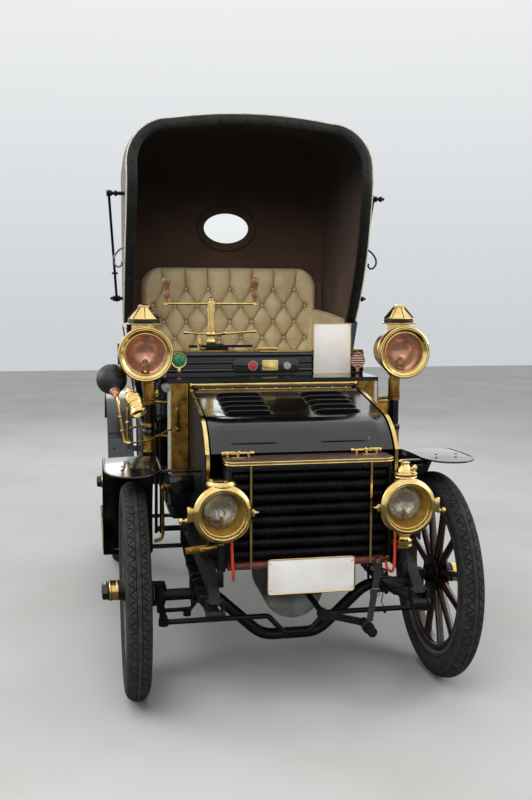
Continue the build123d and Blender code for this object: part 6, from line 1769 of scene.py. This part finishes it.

# %% [markdown]
# The hinge's barrel is turned, with a groove between every two knuckles. Each louvre has a rolled lip, and the
# sheet is really cut open behind it; a thin near-black strip there is painted shade for the inside of that opening.

# %% The lid's hinge and the louvres' lips
hinge = [turned(disc(6, -lid_half, lid_half, 0.4, 0.4), (0, -573, 1131.5), 24, crosswise)]
hinge += [turned([(6, x - 1), (6.4, x - 1), (6.4, x + 1), (6, x + 1)], (0, -573, 1131.5), 24, crosswise, ring=True)
          for x in range(-280, 281, 56)]
shape("bonnet_hinge_barrel", hinge, "gloss_black_enamel", body="bonnet_lid")
mouth_shade_strips = []
lip_rolls = []
for row, at in enumerate(louvre_runs):
    y, z = float(np.interp(at + 15.2, run, side_view[:, 0])), float(np.interp(at + 15.2, run, side_view[:, 1]))
    for side in (-1, 1):
        x = side * louvre_middle
        # painted shade: a thin near-black strip in each louvre's opening
        mouth_shade_strips.append(bar((160, 0.8, 8.4), (x, y - 0.5, z + 4.9), 0.2, (degrees(slope), 0, 0), 1))
        lip = []
        for k in range(33):
            u = -1 + 2 * k / 32
            lift = louvre_height * max(0.0, 1 - abs(u) ** 5) ** 0.5
            back = 6 * abs(u) ** 8
            lip.append((x + 91.5 * u, y + 0.5 + back + lift * sin(slope) * -1, z + lift * cos(slope) + back * slope))
        lip_rolls.append(tube(lip, 2.2, 8))
shape("bonnet_louvre_mouth_shade", mouth_shade_strips, "shade_and_gauze_black", body="bonnet_lid")
shape("bonnet_louvre_lips", lip_rolls, "gloss_black_enamel", sharp=60, body="bonnet_lid")
print(len(lip_rolls), "louvres have their lips")

# %% [markdown]
# A front wing seen from above is shaped like a leaf: the front edge is half an ellipse. Its sheet follows the
# side view, the edge is rolled round a wire, and a flange stiffens the inner edge. Two flat stays carry it.

# %% Front wings
wing_tip, wing_bend, wing_radius, wing_half, leaf = -1073, -770, 358, 101, 118
tip_length = wing_bend - wing_tip
wing_line = [Vector((0, wing_tip + tip_length * k / 40, 872 + 14 * sin(pi / 2 * k / 40))) for k in range(40)]
bend_angles = [radians(90 * k / 44) for k in range(45)]
wing_line += [Vector((0, wing_bend + wing_radius * sin(a), 528 + wing_radius * cos(a))) for a in bend_angles]
wing_line += [Vector((0, -412, 528 - 115.7 * k / 8)) for k in range(1, 9)]
for hand, side, tip_rise in (("right", -1, 0), ("left", 1, 18)):  # the left wing has been bent up a little
    points, columns = [], 29
    outer_edge, inner_edge = [], []
    risen_line = [p + Vector((0, 0, tip_rise * max(0.0, (wing_bend - p.y) / tip_length))) for p in wing_line]
    for k, p in enumerate(risen_line):
        reach = min(1.0, (p.y - wing_tip + 0.01) / leaf)
        narrow = (max(0.0, 1 - (1 - reach) ** 2)) ** 0.5
        half = wing_half * max(0.02, narrow)
        ahead = risen_line[min(k + 1, len(wing_line) - 1)] - risen_line[max(k - 1, 0)]
        up = Vector((0, -ahead.z, ahead.y)).normalized()
        for j in range(columns):
            u = -1 + 2 * j / (columns - 1)
            crown = 5 * (1 - u * u) * reach
            points.append(Vector((side * 601 + u * half, p.y, p.z)) + up * (crown - 5))
        outer_edge.append(points[-columns if side < 0 else -1].copy())
        inner_edge.append(points[-1 if side < 0 else -columns].copy())
    count = len(wing_line)
    lower = [p - Vector((0, 0, 3)) for p in points]
    top_faces = grid_faces(count, columns)
    sheet_form = (points + lower, top_faces + [tuple(i + len(points) for i in reversed(f)) for f in top_faces])
    edge_loop = list(reversed(outer_edge)) + inner_edge[1:]
    roll = tube(edge_loop, 3.6, 10)
    flange_points = []
    flange_line = inner_edge[10:]
    for p in flange_line:
        back, fall = (9, -8) if p.y > -500 else (2, -20)
        flange_points += [p + Vector((side, 0, 0)), p + Vector((side, back, fall))]
    flange = (flange_points, grid_faces(len(flange_line), 2))
    stays = [
        bar((306, 26, 8), (side * 509, -955, 868 + 0.61 * tip_rise), 2, (0, side * -2, 0)),
        bar((230, 24, 10), (side * 547, -525, 774), 2),
        dome((side * 560, -955, 886 + 0.61 * tip_rise), upright, 6, 3, 14),
        dome((side * 640, -955, 886 + 0.61 * tip_rise), upright, 6, 3, 14),
    ]
    shape("front_wing_sheet_" + hand, [sheet_form, roll, flange] + stays, "gloss_black_enamel",
          stands_for="front_wings")
print("front wings: the leaf ends over", leaf, "mm")

# %% [markdown]
# Odds and ends near the dash: a small box for the ignition coil, a brass drain pipe bent like a J, a brass
# bracket that ties the lamp post to the dash, and a link rod that steadies the horn. Each is cut from bar or
# bent from tube, with a few turned ends.

# %% Fittings beside the bonnet
coil_box = [bar((96, 60, 66), (-404, -706, 765), 3), bar((100, 64, 6), (-404, -706, 800), 2)]
shape("coil_box", coil_box, "gloss_black_enamel")
drain = [tube(smooth_path([(-474, -748, 770), (-479, -750, 740), (-478, -750, 610), (-480, -750, 572),
                           (-490, -750, 556), (-512, -750, 550)], 8), 6.5, 14)]
drain.append(turned(disc(10, -6, 6, 1, 2), (-476, -749, 756), 14))
drain.append(bar((34, 8, 16), (-458, -742, 764), 2))
shape("brass_drain_pipe", drain, "aged_brass")
ties = [bar((92, 7, 66), (460, -561, 1024), 1.5), bar((104, 16, 7), (462, -563, 1060), 2)]
ties += [dome((460 + dx, -564.6, 1024 + dz), forward, 3.2, 2, 10) for dx in (-36, 20) for dz in (-22, 16)]
ties += [bar((60, 10, 7), (464, -570, 985 - 14 * k), 2) for k in range(3)]
shape("lamp_post_tie_plate", ties, "aged_brass")
link = [
    tube([(-606, -718, 934), (-520, -640, 930), (-433, -566, 962)], 3.4, 10),
    dome((-434, -570, 962), forward, 8, 7, 16),
]
link.append(turned(disc(9, -7, 7), (-606, -716, 934), 14, crosswise))
shape("horn_link_rod", link, "polished_brass")
print("small fittings are on")

# %% [markdown]
# The seat is like a tub: between each side pad and the back sits a corner pad that turns inwards as it climbs.
# Its top edge and foot are two drawn lines, and the hide between them swells in flutes. The panel behind the
# back rest is covered with the same brown cloth as the hood.

# %% Corner pads and back panel cloth
def corner_pad_form(side):
    """The pad that turns the corner from a side to the back."""
    top_line = smooth_path([(541, 330, 1358), (530, 430, 1374), (506, 540, 1392), (470, 622, 1408), (438, 655, 1416)],
                           10)
    foot_line = smooth_path([(492, 330, 1040), (486, 430, 1040), (474, 540, 1040), (452, 610, 1040),
                             (430, 640, 1040)], 10)
    points, columns = [], 22
    count = len(top_line)
    for k in range(count):
        share = k / (count - 1)
        flute = 1 - 0.22 * abs(cos(pi * share * 4.5)) ** 6
        for j in range(columns):
            t = j / (columns - 1)
            place = foot_line[k].lerp(top_line[k], min(1.0, t / 0.86))
            bulge = 26 * flute * sin(pi * min(1.0, 0.12 + 0.88 * t)) ** 0.5 if t < 1 else 0
            over = max(0.0, (t - 0.86) / 0.14)
            inward = Vector((-0.8, -0.35 - 0.4 * share, 0)).normalized()
            place = place + inward * (bulge - 14) + Vector((0, 0, 10 * sin(pi / 2 * over)))
            place = place - inward * 26 * over
            points.append(Vector((side * place.x, place.y, place.z)))
    return points, grid_faces(count, columns)


corner_pads = shape("fluted_corner_pads", [corner_pad_form(-1), corner_pad_form(1)], "buff_hide", sharp=70)
back_cloth = [(-518, 1370), (518, 1370), (526, 1390), (521, 1566), (512, 1574), (-512, 1574), (-521, 1566),
              (-526, 1390)]
cloth_form = plate([(x, z - 1472) for x, z in back_cloth], 3, (0, 735.2, 1472), 0.5)
shape("back_panel_cloth", [cloth_form], "brown_wool_lining", sharp=50)
outer_rim = []
for wide, depth, thick in ((128, 812, 5.5), (154, 809, 3.2)):
    outer_rim.append(tube(oval_line(wide, depth, wide - 43), thick, 8, looped=True))
shape("window_outer_piping", outer_rim, "black_hood_leather", sharp=60)
print("corner pads:", len(corner_pads.data.polygons), "faces")

# %% [markdown]
# A coachbuilt body is panelled: half-round beading is nailed along each panel's edge, and the tail has a lid
# with strap hinges and a turning handle. The beads are tubes sunk halfway into the panels.

# %% Body beading and the tail's lid
def straight_loop(corners, radius, ease=14):
    """A closed bead whose corners are rounded by cutting each one short."""
    path = []
    count = len(corners)
    for k in range(count):
        before, here, after = Vector(corners[k - 1]), Vector(corners[k]), Vector(corners[(k + 1) % count])
        first, second = here + (before - here).normalized() * ease, here + (after - here).normalized() * ease
        path += [first, here.lerp(first.lerp(second, 0.5), 0.55), second]
    return tube(path, radius, 8, looped=True)


beads = []
for side in (-1, 1):
    beads.append(straight_loop([(side * 500.5, 150, 640), (side * 500.5, 730, 640), (side * 500.5, 730, 862),
                                (side * 500.5, 150, 862)], 4))
    slant = lambda z: side * (500.5 + (z - 885) * 72 / 480)
    beads.append(straight_loop([(slant(905), 205, 905), (slant(905), 735, 905), (slant(1340), 735, 1340),
                                (slant(1340), 205, 1340)], 4))
    beads.append(tube([(side * 563, 186, 1366), (side * 563, 754, 1366)], 9, 12))
    beads.append(tube([(side * 501, 124.5, 610), (side * 501, 124.5, 884)], 4, 8))
    beads.append(tube([(side * 432, -357, 1150), (side * 432, -357, 612)], 4.5, 8))
beads.append(straight_loop([(-430, 124, 640), (430, 124, 640), (430, 124, 860), (-430, 124, 860)], 4))
beads.append(straight_loop([(-440, 1175.5, 640), (440, 1175.5, 640), (440, 1175.5, 800), (-440, 1175.5, 800)], 4))
beads.append(tube([(-500, 756, 890), (500, 756, 890)], 5, 8))
shape("body_beading", beads, "gloss_black_enamel", sharp=60)
lid_line = [(-420, 790, 985.5), (420, 790, 985.5), (420, 1010, 985.5), (-420, 1010, 985.5)]
lid_trim = [straight_loop(lid_line, 4)]
for x in (-260, 260):
    lid_trim.append(plate([(-9, -70), (9, -70), (14, 40), (0, 62), (-14, 40)], 4, (x, 838, 987.4), 1, up=backward))
    lid_trim.append(turned(disc(8, -28, 28, 1, 2), (x, 768, 990), 16, crosswise))
    lid_trim += [dome((x, 838 + dy, 989.3), upright, 4, 2.4, 12) for dy in (-50, -15, 20)]
shape("tail_lid_hinges", lid_trim, "satin_black_frame_paint")
handle = [
    turned([(0, 0), (20, 0), (21, 2), (19, 4), (10, 5), (8, 14), (0, 15)], (0, 1175.4, 742), 28, backward),
    tube([(-32, 1192, 742), (-12, 1191, 742), (12, 1191, 742), (32, 1192, 742)], 5.5, 12),
]
handle += [dome((x, 1192, 742), (-1 if x < 0 else 1, 0, 0), 8, 6, 14) for x in (-33, 33)]
shape("tail_lid_handle", handle, "polished_brass")
print("beading:", len(beads), "runs")

# %% [markdown]
# The boards under the doors are ribbed rubber in a brass edge. Bolts hold wings, boards and stays: each is a
# dome or a six-sided nut where two pieces meet, so nothing looks glued.

# %% Running boards and bolts
ribs, board_edges = [], []
for side in (-1, 1):
    for k in range(11):
        ribs.append(bar((6, 800, 4), (side * (520 + 16.4 * k), 1, 433.2), 1.4, rounds=2))
    loop = [(side * 502, -409, 431), (side * 702, -409, 431), (side * 702, 412, 431), (side * 502, 412, 431)]
    board_edges.append(straight_loop(loop, 5, 12))
    for y in (-380, -190, 0, 190, 380):
        board_edges.append(dome((side * 693, y, 434), upright, 3.6, 2.2, 10))
shape("running_board_ribs", ribs, "smooth_black_rubber")
shape("running_board_brass_edges", board_edges, "aged_brass", sharp=60)
nuts = []
for side in (-1, 1):
    for y, z in ((-330, 406), (330, 406)):
        nuts += [hex_nut((side * x, y, z), (0, 0, -1), 14, 8) for x in (530, 600, 670)]
    for angle in (95, 150):
        out = Vector((0, cos(radians(angle)), sin(radians(angle))))
        for x in (560, 630):
            nuts.append(dome(Vector((side * x, 935, 455)) + out * 520, out, 6, 3.4, 12))
    for y in (-760, -620, -300, 60, 420, 700, 1000):
        nuts.append(hex_nut((side * 374.5, y, 560), (side, 0, 0), 15, 8))
        nuts.append(dome((side * 374.2, y + 42, 560), (side, 0, 0), 6, 4, 12))
shape("frame_nuts_and_rivets", nuts, "satin_black_frame_paint", sharp=35)
clips = []
for side in (-1, 1):
    for x, y, seat, half in ((side * 355, -885, 398.3, 480), (side * 412, 935, 483.3, 420)):
        for step in (-0.44, -0.19, 0.19, 0.44):
            rise = 22 * (step * 2) ** 2
            clips.append(bar((50, 16, 34), (x, y + step * half * 1.1, seat + 14 + rise), 3,
                             (degrees(step * 0.25), 0, 0)))
        for dy in (-34, 34):
            path = [(x - 26, y + dy, seat - 46), (x - 26, y + dy, seat + 32), (x, y + dy, seat + 42),
                    (x + 26, y + dy, seat + 32), (x + 26, y + dy, seat - 46)]
            clips.append(tube(smooth_path(path, 5), 5, 10))
            clips += [hex_nut((x + dx, y + dy, seat - 46), (0, 0, -1), 15, 9) for dx in (-26, 26)]
shape("spring_clips_and_bolts", clips, "satin_black_frame_paint", sharp=35)
print("nuts and rivets:", len(nuts), "clips:", len(clips))

# %% [markdown]
# The stage is a pale floor that catches the car's shadow. The world is pale grey-white for the camera, and
# for mirrors and glass too, so that brass and enamel have something bright to show, while the soft light that
# falls on the car is set on its own. Four broad lamps model the forms: a high one in front, one at each side
# and one behind.

# %% Floor, world and lamps
floor_mesh = bpy.data.meshes.new("floor")
floor_mesh.from_pydata([(-14, -14, 0), (14, -14, 0), (14, 14, 0), (-14, 14, 0)], [], [(0, 1, 2, 3)])
tree, shader, point = new_finish("pale_floor", "#cfcfcc", 0.9, clouds=(900, "#d2d2cf", "#c8c8c4"))
seen_in_brass = add_node(tree, "ShaderNodeLightPath")
darker_where(tree, shader, seen_in_brass.outputs["Is Glossy Ray"], "#5d5f57")
floor_mesh.materials.append(finishes["pale_floor"])
floor = bpy.data.objects.new("floor", floor_mesh)
bpy.context.scene.collection.objects.link(floor)

world = bpy.data.worlds.new("studio")
world.use_nodes = True
bpy.context.scene.world = world
tree = world.node_tree
ambient = tree.nodes["Background"]
ambient.inputs["Color"].default_value = linear("#f4f6f8")
ambient.inputs["Strength"].default_value = 0.5
way = add_node(tree, "ShaderNodeTexCoord")
upward = add_node(tree, "ShaderNodeSeparateXYZ", {}, in_0=way.outputs["Generated"])
height = add_node(tree, "ShaderNodeMapRange", {1: -0.05, 2: 0.45}, in_0=upward.outputs[2])
sky = add_node(tree, "ShaderNodeMix", {"data_type": "RGBA", 6: linear("#cdd1d4"), 7: linear("#fbfcfd")}, in_0=height)
ray = add_node(tree, "ShaderNodeLightPath")
brighter = add_node(tree, "ShaderNodeMath", {"operation": "MULTIPLY_ADD", 1: 0.45, 2: 1.0},
                    in_0=ray.outputs["Is Glossy Ray"])
seen = add_node(tree, "ShaderNodeBackground", {}, in_0=sky.outputs[2], in_1=brighter)
either = add_node(tree, "ShaderNodeMath", {"operation": "MAXIMUM"}, in_0=ray.outputs["Is Camera Ray"],
                  in_1=ray.outputs["Is Glossy Ray"])
any_of = add_node(tree, "ShaderNodeMath", {"operation": "MAXIMUM"}, in_0=either,
                  in_1=ray.outputs["Is Transmission Ray"])
mixed = add_node(tree, "ShaderNodeMixShader", {}, in_0=any_of, in_1=ambient, in_2=seen)
tree.links.new(mixed.outputs[0], tree.nodes["World Output"].inputs["Surface"])

for name, place, aim, size, power in (
    ("high_front", (-1.5, -4.5, 5.5), (0, 0, 1.0), 4.0, 230),
    ("left_side", (5.0, -1.5, 3.5), (0, 0, 1.0), 3.0, 90),
    ("right_side", (-5.0, 0.5, 3.5), (0, 0, 1.0), 3.0, 80),
    ("behind", (0.5, 5.5, 4.0), (0, 0, 1.2), 3.0, 70),
):
    light = bpy.data.lights.new(name, "AREA")
    light.size = size
    light.energy = power
    lamp = bpy.data.objects.new(name, light)
    lamp.location = place
    lamp.visible_glossy = name != "high_front"  # its square would show as a blot in the bonnet lid
    lamp.rotation_euler = (Vector(aim) - Vector(place)).to_track_quat("-Z", "Y").to_euler()
    bpy.context.scene.collection.objects.link(lamp)
bpy.context.scene.view_settings.view_transform = "Standard"
print("floor, world and four lamps")

# %% [markdown]
# The last cell brings the scene up to date.

# %% The end
bpy.context.view_layer.update()
